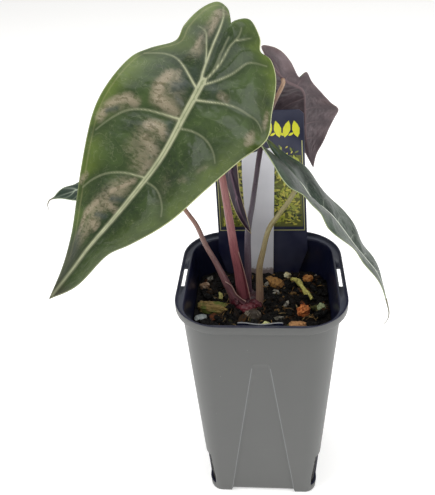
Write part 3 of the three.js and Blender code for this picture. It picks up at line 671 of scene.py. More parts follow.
STALKS = {
    "a": dict(path=[[-11.5, 5, 133], [-12.5, 5, 141], [-14, 5, 159], [-16, 4, 175], [-17.5, 4, 190],
                    [-21, 4, 223], [-25, 5, 251], [-28, 4, 267]],
              radii=[3.1, 2.7, 2.5, 2.3, 2.1, 1.9, 1.5, 1.3]),
    "b": dict(path=[[-8.5, 11.5, 133], [-8.8, 12, 141], [-8.5, 13.5, 155], [-8, 18, 180], [-5, 22, 197],
                    [-3, 26, 210], [0, 31, 228], [4, 38, 243], [8.5, 42.5, 253]],
              radii=[2, 1.8, 1.7, 1.6, 1.5, 1.6, 1.3, 1.2]),
    "c": dict(path=[[-2, 3.5, 133], [-1.2, 3.5, 140], [-1, 4, 162], [1, 4, 173], [5, 4, 190], [10, 3, 199],
                    [15.5, 1.5, 208.5]],
              radii=[2.2, 2, 1.8, 1.6, 1.5, 1.3, 1.2]),
    "d": dict(path=[[-17.5, 5.5, 133], [-19, 6, 141], [-22, 7, 148], [-28, 9, 162], [-34, 11, 174],
                    [-39, 13, 187], [-45, 15, 196], [-57, 21, 212]],
              radii=[2.5, 2.2, 1.7, 1.5, 1.4, 1.3, 1.2, 1.1]),
    "e": dict(path=[[-13.5, 11.5, 133], [-13.5, 11, 141], [-14.5, 10.5, 156], [-16, 10, 171], [-18, 9.3, 186],
                    [-20, 9.2, 203], [-22, 9.2, 220], [-23, 9.2, 232], [-22.5, 8.8, 240]],
              radii=[1.4, 1.3, 1.2, 1.1, 1.1, 1, 1]),
}
STALK_FLARE = {"a": 1.12, "b": 1.3, "c": 1.18, "d": 1.12, "e": 1.0}
MODEL_QUILT = {"a": 0.9, "b": 0.6, "c": 0.6, "d": 0.6, "e": 0.15}


def stalk_end(key):
    """Where the stalk stops under its leaf, and a place just below, as in the model."""
    spec = dict(BLADES[key], quilt=MODEL_QUILT[key])
    mid = spec["columns"]
    grid, _ = blade_sheet(spec, np.linspace(0, 1, spec["rows"] + 1), np.linspace(-1, 1, 2 * mid + 1))
    normals = sheet_normals(grid)
    row = int(np.argmin(np.linalg.norm(grid[:, mid] - np.array(spec["middle"][spec["attach"]]), axis=1)))
    below = BLADE_THICK / 2 + spec["rib"] + 0.35
    return [grid[row, mid] - normals[row, mid] * (below + more) for more in (3, 0)]


def flap_mesh(foot, edge, thick=0.45, across=5, along=36):
    """A papery wing from a foot line on a stalk to its own free edge; also each point's share out to it."""
    a, b = Path(foot).at(np.linspace(0, 1, along)), Path(edge).at(np.linspace(0, 1, along))
    w = np.linspace(0, 1, across)
    grid = a[:, None] * (1 - w[None, :, None]) + b[:, None] * w[None, :, None]
    normals = unit(np.cross(np.gradient(grid, axis=0), np.gradient(grid, axis=1)))
    puff = np.sin(np.pi * w)[None, :, None] * 0.5
    body = (thick / 2) * np.interp(w, [0, 0.8, 1], [1, 0.8, 0.45])[None, :, None]
    top, low = grid + normals * (puff + body), grid + normals * (puff - body)
    points, faces, _ = thin_shell(top, low, turned=True)
    return points, faces, np.tile(w, 2 * along)


def make_stalk(key, material, wings=(), sides=22, steps=110):
    """A stalk up to its leaf, joined with its papery wings."""
    stalk = STALKS[key]
    shares = np.linspace(0, 1, len(stalk["radii"]))
    radii = stalk["radii"] * (1 + (STALK_FLARE[key] - 1) * np.maximum(0, 1 - shares / 0.5) ** 0.8)
    verts, faces, along, around = tube_mesh(stalk["path"] + stalk_end(key), radii, sides, steps)
    points = list(verts)
    values = {"along": list(along), "around": list(around), "free": [0.0] * len(points)}
    for wing in wings:
        join_part(points, faces, wing)
        count = len(wing[0])
        values["along"] += [0.12] * count
        values["around"] += [0.0] * count
        values["free"] += list(wing[2])
    piece = add_object(f"stalk_{key}" + ("_winged" if wings else ""), points, faces, [material])
    for name, numbers in values.items():
        add_values(piece, name, numbers)
    return piece


# The mix in the pot, with its named coarse bits

SOIL_LEVEL = 132.6
SOIL_FOOT = 3.75
SOIL_GAP = 0.35
BITS = {
    "moss_bark": dict(at=(-31, 0.5), size=(9.6, 5, 3.6), turn=-8, seed=11),
    "pebble": dict(at=(-38, -9.5), size=(4.4, 3, 2.6), turn=10, seed=23),
    "tan_chip": dict(at=(-38, 23), size=(3.6, 3, 2.6), turn=30, seed=31),
    "orange_chip": dict(at=(30.5, 31.5), size=(3.8, 3.4, 3), turn=40, seed=41),
    "clay_lump": dict(at=(26, -3), size=(5, 4.6, 4.4), turn=20, seed=53),
    "cream_chip": dict(at=(17, 35.5), size=(3, 2.3, 2.2), turn=0, seed=61),
    "green_chip": dict(at=(37.5, 1), size=(3.2, 3, 2.8), turn=15, seed=71),
    "fibre_bark": dict(at=(8.5, 28.5), size=(8, 5, 2.8), turn=-40, seed=83),
    "front_chip": dict(at=(22, -17), size=(5.6, 2.8, 2.4), turn=5, seed=97),
    "pale_chip": dict(at=(3, -15.5), size=(3.4, 2.1, 2), turn=0, seed=101),
    "yellow_shred": dict(at=(-26.5, 12.5), size=(1.5, 4, 1.7), turn=8, seed=113),
}
BIT_SLOTS = {"moss_bark": "mossy_bark", "pebble": "pebble", "clay_lump": "clay", "pale_chip": "pale_chip",
             "cream_chip": "pale_chip", "green_chip": "pale_chip", "yellow_shred": "pale_chip"}
CRUMB_COLOURS = [("0c0b0a", 36), ("14110f", 26), ("1d1712", 12), ("2c2016", 8), ("4d3621", 6), ("80592f", 4),
                 ("b08a55", 3), ("94522a", 2), ("dcd6c4", 2), ("7c7a3e", 2)]
FIBRE_COLOURS = ["6b4a2b", "9a7a4b", "2a1d15", "b59a68"]
# Places kept clear for the crown and the stub
CLEAR = [((-9.5, 6), 10.5), ((-5.5, -7), 5.5)]


def soil_height(x, y):
    mound = 1.6 * np.exp(-((x + 9) ** 2 + (y - 4) ** 2) / 260)
    wave = np.sin(x * 0.31 + 1.3) * np.cos(y * 0.27 - 0.4) + 0.6 * np.sin(x * 0.63 - y * 0.52 + 2.1)
    return float(SOIL_LEVEL + mound + 0.715 * wave)


def inner_square(z, inset, count=192):
    """A ring of places round the inside of the pot, with each corner's arc and then its side."""
    half, radius = wall_at(z, -POT.wall - inset)
    flat = half - radius
    ring = []
    for quarter in range(4):
        turns = [(quarter + k) * math.pi / 2 for k in (0, 1)]
        here, after = (np.array([math.copysign(flat, math.cos(turn + math.pi / 4)),
                                 math.copysign(flat, math.sin(turn + math.pi / 4))]) for turn in turns)
        shares = [step / (count // 8) for step in range(count // 8)]
        for angle in (turns[0] + share * math.pi / 2 for share in shares):
            ring.append(here + radius * np.array([math.cos(angle), math.sin(angle)]))
        out = radius * np.array([math.cos(turns[1]), math.sin(turns[1])])
        ring += [here + out + (after - here) * share for share in shares]
    return np.array(ring)


def inside_pot(x, y, inset):
    half, radius = wall_at(133, -POT.wall - inset)
    dx, dy = (max(abs(v) - (half - radius), 0) for v in (x, y))
    return abs(x) < half and abs(y) < half and dx * dx + dy * dy < radius * radius


def make_soil(material):
    """The mix filling the pot, with crumbs and fibres strewn over its top."""
    ring, low_ring = inner_square(SOIL_LEVEL, SOIL_GAP), inner_square(SOIL_FOOT, SOIL_GAP)
    shares = np.concatenate([[1.0], np.linspace(0.985, 0.03, 54)])
    side_rows, side_top = 14, 131.2
    points = []
    for level in np.linspace(0, 1, side_rows):
        z = SOIL_FOOT + (side_top - SOIL_FOOT) * level
        points += [(x, y, z) for x, y in low_ring * (1 - level) + ring * level]
    for share in shares:
        for x, y in ring * share:
            v = Vector((x, y, 0))
            fine = noise.noise(v * 0.35) * 0.8 + noise.noise(v * 0.9) * 0.5 + noise.noise(v * 2.1) * 0.25
            points.append((x, y, soil_height(x, y) - 0.5 + fine * (0.3 if share > 0.98 else 1.0)))
    points += [(0, 0, SOIL_FOOT), (0, 0, soil_height(0, 0) - 0.5)]
    faces = capped_faces(side_rows + len(shares), len(ring), points)
    tints = [rgb("17130f")] * len(points)
    colours = [rgb(c) for c, _ in CRUMB_COLOURS]
    odds = np.array([w for _, w in CRUMB_COLOURS], dtype=float)
    odds /= odds.sum()
    keep = [(b["at"], max(b["size"][0], b["size"][1]) * 0.8) for b in BITS.values()] + CLEAR
    for k in range(1100):
        size = 0.55 + 2.2 * rng.random() ** 2.4
        x, y = rng.uniform(-44, 44, 2)
        if not inside_pot(x, y, size + 0.7) or any(math.dist((x, y), at) < r for at, r in keep):
            continue
        if y > 37.5 - size and abs(x) < 26:
            continue
        colour = colours[rng.choice(len(colours), p=odds)]
        long = rng.uniform(1, 2.0)
        spread = (size * long, size, size * rng.uniform(0.45, 0.8))
        body, tris = lump(spread, rng.uniform(0, 180), k + 200, 1, 0.55, 0.25)
        body = tilt(body, rng.uniform(-35, 35), rng.uniform(-35, 35))
        body = body + np.array([x, y, soil_height(x, y) + size * rng.uniform(-0.15, 0.35)])
        join_part(points, faces, (body, tris))
        shade = rng.uniform(0.3, 0.85)
        tints += [(*(c * shade for c in colour[:3]), 1)] * len(body)
    for k in range(240):
        x, y = rng.uniform(-38, 38, 2)
        if not inside_pot(x, y, 7):
            continue
        angle, reach = rng.uniform(0, 2 * math.pi), rng.uniform(3, 8)
        bend = rng.uniform(-0.8, 0.8)
        run = []
        for step in np.linspace(0, 1, 5):
            px = x + reach * step * math.cos(angle + bend * step)
            py = y + reach * step * math.sin(angle + bend * step)
            run.append((px, py, soil_height(px, py) + 0.3 + 0.9 * math.sin(math.pi * step)))
        fibre = tube_mesh(run, [0.22, 0.3, 0.18], 5, 10)
        join_part(points, faces, fibre)
        tints += [rgb(FIBRE_COLOURS[k % 4])] * len(fibre[0])
    soil = add_object("mix", points, faces, [material], sharp=50)
    layer = soil.data.attributes.new("tint", "FLOAT_COLOR", "POINT")
    layer.data.foreach_set("color", np.asarray(tints, dtype=np.float32).ravel())
    return soil


def make_bit(name, material):
    """A coarse bit, fitted into the room of its CAD piece."""
    bit = BITS[name]
    woody = name in ("moss_bark", "fibre_bark", "front_chip", "orange_chip", "tan_chip")
    flat, grain, sharp = (0.4, 0.22, 60) if woody else (0.15, 0.0, None)
    rough = 0.2 if name == "pebble" else 0.5
    body, faces = lump([c * 0.98 for c in bit["size"]], bit["turn"], bit["seed"], 5, rough, flat, grain)
    low, high = (np.array(corner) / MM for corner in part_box(name))
    body -= (body.max(axis=0) + body.min(axis=0)) / 2
    body *= np.minimum(1, (high - low) / np.ptp(body, axis=0))
    return add_object(name + "_look", body + (low + high) / 2, faces, [material], sharp=sharp)


# The crown and the old stub

CROWN_RINGS = [[-9.5, 7, 124, 5, 4.5], [-9.5, 7, 129, 9.5, 8.5], [-9.8, 7, 133.5, 10.4, 9.4],
               [-9.8, 7, 136.5, 9.8, 8.6], [-10, 7, 138.5, 8.5, 7]]
STUB_RINGS = [[-6, -7.6, 127, 3.5, 3], [-6, -7.6, 132, 6.2, 4.2], [-5.5, -7.6, 134.4, 5.6, 4],
              [-5, -7.6, 137.4, 3, 2.4]]
# Fleshy lumps at the foot of the stalks: place, size, turn and seed
CROWN_LUMPS = [((-9.5, -1.0, 134.8), (6.4, 3.6, 3.4), 5, 3), ((-3.2, 1.6, 135.2), (3.9, 3.4, 3.5), -15, 5),
               ((-15.6, 2.4, 135.4), (3.6, 3.2, 3.4), 20, 7), ((-11.6, 0.6, 137.0), (2.6, 2.0, 2.4), 40, 9),
               ((-6.4, 0.9, 136.8), (2.4, 1.9, 2.3), 10, 12), ((-6.0, 7.4, 136.4), (3.6, 3.0, 2.8), 5, 15)]


def stack_mesh(rings, sides, steps, knock, cap):
    """A body through level rings of (x, y, z, half width, half depth), knocked out of round by a function."""
    rings = np.array(rings, dtype=float)
    rows = np.stack([np.interp(np.linspace(0, 1, steps), np.linspace(0, 1, len(rings)), rings[:, k])
                     for k in range(5)], axis=1)
    points = []
    for x, y, z, rx, ry in rows:
        for a in np.linspace(0, 2 * np.pi, sides, endpoint=False):
            k = knock(a, z)
            points.append((x + rx * k * math.cos(a), y + ry * k * math.sin(a), z))
    points += [(*rings[0, :2], rings[0, 2] - 0.5), (*rings[-1, :2], rings[-1, 2] + cap)]
    return points, capped_faces(steps, sides, points)


def crown_knock(angle, z):
    v = Vector((math.cos(angle) * 1.4, math.sin(angle) * 1.4, z * 0.16))
    return 0.93 + 0.14 * noise.noise(v) + 0.05 * math.sin(7 * angle + z * 0.4) + 0.03 * math.sin(13 * angle)


def stub_knock(angle, z):
    return 0.97 + 0.16 * noise.noise(Vector((math.cos(angle) * 6, math.sin(angle) * 6, z * 0.25)))


# The plant tags, leaning back along the wall

TAG_LEAN = 0.061
TAGS = {
    "picture_tag": SimpleNamespace(front=40.8, thick=0.8, outline=[
        (-5, 100), (5, 100), (24.3, 131), (30.2, 149.5), (29.6, 163), (25.6, 243), (23, 245.5),
        (-26.5, 245.5), (-29, 243), (-29.2, 197), (-28.8, 163), (-29.4, 149.5), (-23.8, 131)]),
    "name_label": SimpleNamespace(front=39.8, thick=0.6, outline=[
        (-3, 104), (2, 104), (7.4, 122), (8.2, 209), (8.2, 221), (6.8, 222.6), (-10.6, 217.8), (-12, 216),
        (-12.1, 203), (-8.6, 122)]),
}


def tag_y(tag, z, shift=0.0):
    return tag.front + TAG_LEAN * (z - 131) + shift


def tag_plate(tag):
    """A flat plate of the tag's outline with softened edges."""
    cx, cz = np.mean(tag.outline, axis=0)
    points = []
    for inset, shift in ((0.25, 0), (0.05, 0.08), (0, 0.2), (0, tag.thick - 0.2), (0.05, tag.thick - 0.08),
                         (0.25, tag.thick)):
        for x, z in tag.outline:
            x2, z2 = (v - math.copysign(min(inset, abs(v - c)), v - c) for v, c in ((x, cx), (z, cz)))
            points.append((x2, tag_y(tag, z2, shift), z2))
    points += [(cx, tag_y(tag, cz, shift), cz) for shift in (0.0, tag.thick)]
    return points, capped_faces(6, len(tag.outline), points)


# Materials

def flow(m, along, across):
    """Noise drawn out from the midrib to the margin, like the run of the side veins."""
    where = m.node("CombineXYZ", X=m.times(m.attribute("along"), along),
                   Y=m.times(m.attribute("across"), across)).outputs[0]
    return m.noise(1.0, 3.0, 0.55, where, 0.6)


def paint_sheen_and_shade(m, colour, painted_sheen, fine):
    """Paints the big leaf's sheen and shade: silky pale patches of painted sheen with thin painted highlight
    lines, painted shade in the hollows, a pale band by the fold at the left margin, and a greyish tip.
    """
    margin, along, across = m.attribute("edge"), m.attribute("along"), m.attribute("across")
    stroke = m.attribute("painted_sheen")
    silk = m.plus(m.times(m.noise(170, 4, 0.6, None, 0.8), 0.35), m.times(fine, 0.65))
    patch = m.plus(stroke, m.times(m.math("SUBTRACT", silk, 0.5), 0.8))
    patch = m.times(m.ramp(patch, (0.05, 0), (0.95, 1)), m.ramp(stroke, (0.03, 0), (0.35, 1)))
    # The colour of the painted sheen patches
    tan = m.mix(m.ramp(silk, (0.36, 0), (0.58, 1)), rgb("6d644e"), rgb(painted_sheen))
    # Thin painted highlight lines along the ridges of the silky texture
    tan = m.paint(tan, m.ramp(silk, (0.47, 0), (0.5, 0.4), (0.53, 0)), "c4b8a2")
    colour = m.mix(m.times(patch, 0.84, True), colour, tan)
    # Painted shade in the hollows
    colour = m.paint(colour, m.times(m.attribute("painted_shade"), 0.75, True), "39433f")
    fold = m.times(m.ramp(m.times(margin, 0.1), (0.22, 0), (0.28, 1), (0.36, 0)), m.fall(across, -0.7, -0.5))
    colour = m.paint(colour, m.times(fold, 0.3), "8c8a60")
    far = m.times(m.fall(along, 0.88, 0.72), m.fall(across, -0.15, 0.35))
    colour = m.paint(colour, m.times(far, 0.7), "434339")
    return m.paint(colour, m.fall(along, 0.985, 0.9), "33291f")


def leaf_material(name, dark, light, rim, vein, edge, shade=0.35, painted_sheen=None, gloss=0.3, rim_reach=12,
                  halo=0.16, coat=0.35, edge_side=None, net=0.2, threads=0.12, painted_valley_shade=0.45, web=1, rib=None):
    """A leaf side: clouded ground, brighter rim, fine net, painted sheen where a sheen colour is given,
    painted shade beside the veins, then veins, midrib groove and margin line.
    """
    m = Shader(name, IOR=1.45, Specular_IOR_Level=0.28, Coat_Weight=coat, Coat_Roughness=0.14, Coat_IOR=1.38)
    side, core, margin, spine = (m.attribute(k) for k in ("vein", "core", "edge", "spine"))
    along, across = m.attribute("along"), m.attribute("across")
    streak, fine = flow(m, 26, 5), flow(m, 110, 12)
    colour = m.mix(m.ramp(m.noise(30, 4, 0.6), (0.38, 0), (0.64, 1)), rgb(dark), rgb(light))
    colour = m.paint(colour, m.times(m.ramp(streak, (0.45, 0), (0.62, 1)), shade), dark)
    near = m.times(m.fall(margin, 1.0, rim_reach), m.ramp(m.noise(55, 3), (0.3, 0.1), (0.65, 1)))
    near = m.times(near, m.ramp(along, (0.5, 0.75), (0.8, 0.3)))
    colour = m.paint(colour, m.times(near, 0.88), rim)
    colour = m.paint(colour, m.times(m.ramp(fine, (0.5, 0), (0.66, 1)), 0.22), light)
    cells = m.node("TexVoronoi", {"feature": "DISTANCE_TO_EDGE"}, Vector=m.place(), Scale=260.0).outputs[0]
    colour = m.paint(colour, m.times(m.ramp(cells, (0.0, 1), (0.09, 0)), net), light)
    if painted_sheen:
        colour = paint_sheen_and_shade(m, colour, painted_sheen, fine)
    colour = m.paint(colour, m.times(m.ramp(streak, (0.478, 0), (0.49, 1), (0.505, 0)), threads), vein)
    # Painted shade in the valleys beside the veins
    colour = m.paint(colour, m.times(m.fall(side, 0.4, 5.5), painted_valley_shade), dark)
    colour = m.paint(colour, m.times(m.fall(side, 0.05, 1.1), halo * web), vein)
    drawn = m.times(m.fall(side, -0.12, 0.3), m.ramp(m.noise(160, 3), (0.32, 0.55), (0.6, 0.95)))
    held = m.math("MAXIMUM", m.ramp(m.times(margin, 0.08), (0.2, 0.2), (0.95, 1)),
                  m.times(m.fall(spine, 0.3, 1.2), m.fall(along, 0.72, 0.92)))
    colour = m.paint(colour, m.times(m.times(drawn, held), web), vein)
    if rib:
        colour = m.paint(colour, m.fall(spine, 0.0, rib), vein)
    groove = m.times(m.fall(core, 0.05, 0.4), m.fall(side, -0.9, -0.45))
    colour = m.paint(colour, m.times(groove, 0.45), light)
    line = m.fall(margin, 0.3, 0.75)
    if edge_side is not None:
        line = m.times(line, m.ramp(across, (0.0, edge_side), (0.5, 1)))
        line = m.times(line, m.ramp(along, (0.55, 1), (0.75, 0.35)))
    m.set(Base_Color=m.paint(colour, line, edge),
          Roughness=m.ramp(m.noise(90, 2), (0.3, gloss), (0.7, gloss + 0.13)))
    m.bump(m.plus(m.times(fine, 0.6), m.times(m.ramp(cells, (0, 0), (0.3, 1)), 0.5)), 0.25, 0.0003)
    return m.material


def stalk_material(name, foot, middle, tip, streaks, end=None):
    """A stalk's colour along its length, with streaks, dark specks and pale papery edges."""
    m = Shader(name, IOR=1.45, Coat_Weight=0.25, Coat_Roughness=0.25)
    along, around = m.attribute("along"), m.attribute("around")
    colour = m.ramp(along, (0.0, rgb(foot)), (0.35, rgb(middle)), (0.75, rgb(tip)), (0.86, rgb(tip)),
                    (0.94, rgb(end or tip)))
    where = m.node("CombineXYZ", X=m.times(m.math("SINE", around), 2.2),
                   Y=m.times(m.math("COSINE", around), 2.2), Z=m.times(along, 9.0)).outputs[0]
    streak = m.noise(2.0, 4, 0.6, where)
    colour = m.paint(colour, m.times(m.ramp(streak, (0.42, 0), (0.62, 1)), 0.55), streaks)
    colour = m.paint(colour, m.times(m.ramp(m.noise(900, 2), (0.6, 0), (0.7, 1)), 0.35), "2a1a1c")
    colour = m.paint(colour, m.fall(m.attribute("free"), 0.98, 0.72), "d9b7a8")
    m.set(Base_Color=colour, Roughness=m.ramp(m.noise(300, 2), (0.3, 0.33), (0.7, 0.48)))
    m.bump(m.plus(streak, m.times(m.noise(1400, 2), 0.4)), 0.3, 0.0003)
    return m.material


def woody_material(name, dark, light, moss=None, grain=(3, 14, 14), wet=0.7):
    m = Shader(name)
    strands, rough = m.noise(60, 5, 0.65, m.place(grain), 0.4), m.noise(420, 3, 0.6)
    colour = m.ramp(m.plus(m.times(strands, 0.7), m.times(rough, 0.3)),
                    (0.36, rgb(dark)), (0.5, rgb(light)), (0.62, rgb(light)), (0.72, rgb(dark)))
    if moss:
        colour = m.paint(colour, m.ramp(m.noise(170, 3), (0.46, 0), (0.56, 0.9)), moss)
    m.set(Base_Color=colour, Roughness=wet)
    m.bump(m.plus(strands, rough), 0.7, 0.0006)
    return m.material


def speckled_material(name, base, spots, share=0.58, scale=500, rough=0.7, depth=0.0004):
    m = Shader(name, Roughness=rough)
    small, large = m.noise(scale, 4, 0.6), m.noise(scale / 5, 3)
    colour = m.mix(m.ramp(small, (share - 0.08, 0), (share + 0.04, 1)), rgb(base), rgb(spots))
    colour = m.paint(colour, m.times(m.ramp(large, (0.4, 0), (0.7, 1)), 0.35), spots)
    m.set(Base_Color=colour)
    m.bump(m.plus(small, large), 0.6, depth)
    return m.material


def plastic_material(name, base, worn, gloss=0.42, dust=0.25):
    m = Shader(name, IOR=1.48)
    broad, fine = m.noise(9, 4, 0.6), m.noise(700, 2)
    scuffs = m.noise(1.0, 5, 0.7, m.place((45, 45, 420)))
    colour = m.mix(m.ramp(broad, (0.35, 0), (0.7, dust)), rgb(base), rgb(worn))
    colour = m.paint(colour, m.ramp(scuffs, (0.62, 0), (0.72, 0.18)), worn)
    colour = m.paint(colour, m.ramp(m.noise(330, 1), (0.81, 0), (0.83, 0.3)), "c9ccca")
    m.set(Base_Color=colour, Roughness=m.ramp(broad, (0.3, gloss), (0.7, gloss + 0.1)))
    m.bump(m.plus(m.times(fine, 0.5), m.times(broad, 2.0)), 0.12, 0.0003)
    return m.material


def soil_material():
    m = Shader("mix", Roughness=0.75, Specular_IOR_Level=0.3)
    crumbs = m.noise(520, 4, 0.7)
    damp = m.mix(m.ramp(crumbs, (0.35, 0), (0.65, 1)), rgb("040404"), m.attribute("tint", "Color"))
    m.set(Base_Color=m.paint(damp, m.ramp(m.noise(1500, 2), (0.68, 0), (0.73, 0.25)), "5b4c3c"),
          Roughness=m.ramp(crumbs, (0.4, 0.4), (0.55, 0.95)))
    m.bump(m.plus(crumbs, m.noise(1600, 2)), 0.8, 0.0006)
    return m.material


def crown_material():
    m = Shader("crown", IOR=1.45, Roughness=0.38, Coat_Weight=0.3, Coat_Roughness=0.2)
    flesh_and_highlights = m.noise(110, 3, 0.5)
    # Dark crimson flesh tones; the palest pink stop paints small highlights
    m.set(Base_Color=m.ramp(flesh_and_highlights, (0.34, rgb("260a12")), (0.5, rgb("4e1a26")), (0.62, rgb("743039")),
                            (0.74, rgb("ad7472"))))
    m.bump(m.plus(flesh_and_highlights, m.noise(600, 2)), 0.3, 0.0005)
    return m.material


def card_material(name, colour, gloss=0.35, stain=None):
    """Printed plastic, with soil on its foot where a stain is given."""
    m = Shader(name, Roughness=gloss, IOR=1.5)
    cloud = m.noise(60, 3)
    paint = m.mix(m.ramp(cloud, (0.3, 0), (0.7, 0.12)), rgb(colour), rgb("8f95a5"))
    if stain:
        height = m.node("SeparateXYZ", i0=m.node("TexCoord").outputs["Object"]).outputs[2]
        low = m.fall(m.plus(height, m.times(m.noise(420, 3), 0.006)), 0.1378, 0.1405)
        paint = m.paint(paint, m.times(low, 0.75), stain)
    m.set(Base_Color=paint, Roughness=m.ramp(cloud, (0.3, gloss), (0.7, gloss + 0.12)))
    return m.material


grey = plastic_material("pot_grey", "555655", "6b6c69", 0.36)
# A paler grey that paints highlights on the panel edges and on the strap's top
highlight_grey = plastic_material("pot_line_highlight", "76787a", "8a8c8b")
navy = plastic_material("pot_navy", "12152c", "262c48", 0.26, 0.35)
slate = plastic_material("pot_ledge", "323643", "5a5f6d", 0.3, 0.5)
bit_materials = {
    "moss_bark": woody_material("mossy_bark", "4a3d1c", "97804a", moss="5f6f2a", grain=(2, 14, 14)),
    "pebble": speckled_material("pebble", "8d9899", "b9c0bd", 0.5, 260, 0.45, 0.0002),
    "tan_chip": speckled_material("tan_chip", "8f6a4c", "d8c3a8", 0.56, 300),
    "orange_chip": speckled_material("orange_chip", "9c5a1f", "cf9352", 0.52, 350),
    "clay_lump": speckled_material("clay_lump", "8f431c", "d2824a", 0.5, 420, 0.85, 0.0009),
    "cream_chip": speckled_material("cream_chip", "b9ab78", "e2dcb8", 0.5, 300),
    "green_chip": speckled_material("green_chip", "5d6a49", "a4ae84", 0.5, 420, 0.8, 0.0008),
    "fibre_bark": woody_material("fibre_bark", "4d3116", "a97c43", grain=(14, 3, 14)),
    "front_chip": woody_material("front_chip", "59351a", "c39160", grain=(5, 12, 12)),
    "pale_chip": speckled_material("pale_chip", "828a45", "c6c88c", 0.5, 300),
    "yellow_shred": woody_material("yellow_shred", "7a7a3a", "c3bd72", grain=(14, 4, 14)),
}
twig_material = woody_material("twig", "8c8238", "dcd678", grain=(8, 8, 8), wet=0.45)
hair_material = woody_material("hair", "4a3d38", "7d7a62", grain=(6, 6, 6), wet=0.5)
stub_materials = [woody_material("stub", "0e0a08", "41382e", grain=(14, 14, 2), wet=0.5),
                  woody_material("stub_fibre", "4f4438", "94897a", grain=(14, 14, 2), wet=0.5)]
leaf_materials = {
    "a": (leaf_material("leaf_a_top", "202f16", "41532a", "65772a", "a9ac8b", "bdc38e", painted_sheen="948873",
                        edge_side=0.25, coat=0.4, halo=0.3, rim_reach=16),
          leaf_material("leaf_a_low", "3a2430", "5b3d48", "5b4a3a", "7d5d62", "8a7a68", gloss=0.42,
                        coat=0.1)),
    "b": (leaf_material("leaf_b_top", "22361f", "3c5233", "57603a", "93a088", "8a7a68"),
          leaf_material("leaf_b_low", "3b3135", "786a6e", "776464", "6f5b5e", "7a6768", gloss=0.4, coat=0.2,
                        halo=0.1, net=0.1, threads=0.0, painted_valley_shade=0.6)),
    "c": (leaf_material("leaf_c_top", "16231a", "324636", "30452a", "c9d0bf", "9aa47c", shade=0.7, gloss=0.36,
                        halo=0.12, threads=0.12, painted_valley_shade=0.1, web=0.3, rib=0.35, coat=0.15),
          leaf_material("leaf_c_low", "3f3640", "665a64", "6a6a5c", "8f8488", "a79f8c", gloss=0.42,
                        coat=0.1)),
    "d": (leaf_material("leaf_d_top", "1d2c22", "3c5044", "3e4d38", "a9b4a0", "8d967c", shade=0.7),
          leaf_material("leaf_d_low", "3f4740", "6c7669", "6a6f5c", "c2c8ba", "a9ae95", gloss=0.4, coat=0.1,
                        halo=0.4)),
    "e": (leaf_material("leaf_e_top", "150b1a", "2e1a33", "3a2434", "7a5f76", "cbb58c", gloss=0.26),
          leaf_material("leaf_e_low", "170c1c", "331f38", "452c40", "8f7284", "d0bf94", gloss=0.28,
                        halo=0.1)),
}
stalk_materials = {
    "a": stalk_material("stalk_a", "7b424c", "9c6062", "ab6f66", "6b343d"),
    "b": stalk_material("stalk_b", "6b4a57", "77707c", "3d2630", "453240", end="a98a70"),
    "c": stalk_material("stalk_c", "97736a", "978664", "a29b67", "6c5b45"),
    "d": stalk_material("stalk_d", "86525c", "90706a", "a37e69", "5a3b45"),
    "e": stalk_material("stalk_e", "5a3442", "4c2c40", "3c2438", "2a1828"),
}
card_materials = [card_material("card_" + name, colour, gloss) for name, colour, gloss in (
    ("navy", "1a1d3a", 0.3), ("frame", "c9c98a", 0.4), ("leaf_yellow", "cdc552", 0.35),
    ("leaf_lime", "a9b040", 0.35), ("leaf_green", "747f2c", 0.35), ("leaf_dark", "2f3716", 0.35),
    ("ornament", "ecec30", 0.35), ("field", "62661f", 0.4))]


# The pot, the mix and its bits

settle(make_pot(grey, navy, slate, highlight_grey), "pot_plastic", "pot")
strap_points, strap_faces = strap_mesh()
# The strap's top and its two top edges take the paler grey, a painted highlight; the rest is navy
strap_slots = [1 if k % 8 in (2, 3, 4) and k < len(strap_faces) - 2 else 0 for k in range(len(strap_faces))]
settle(add_object("pot_strap", strap_points, strap_faces, [navy, highlight_grey], slots=strap_slots, sharp=40),
       "pot_plastic")
pad_points, pad_faces = block((-PAD_HALF, PAD_HALF), (-PAD_HALF, PAD_HALF), (0, POT.foot + 0.5))
settle(add_object("pot_pad", pad_points, pad_faces, [grey], smooth=False), "pot_plastic")
settle(make_soil(soil_material()), "soil", "soil")
for name in BITS:
    settle(make_bit(name, bit_materials[name]), BIT_SLOTS.get(name, "bark"), name)
twig_places = ((19.5, 31.5), (23, 28), (26, 22.5), (28.5, 16), (32, 9.5))
twig_path = [(x, y, soil_height(x, y) + 1.1) for x, y in twig_places]
twig_body, twig_faces, _, _ = tube_mesh(twig_path, [1.2, 2.0, 1.25, 2.0, 1.1], 16, 44, wobble=0.2, seed=4)
settle(add_object("twig", twig_body, twig_faces, [twig_material]), "bark", "curved_twig")


# The leaves and their stalks

# The big leaf's size in millimetres along and across
LEAF_SPAN = (165.0, 45.0)
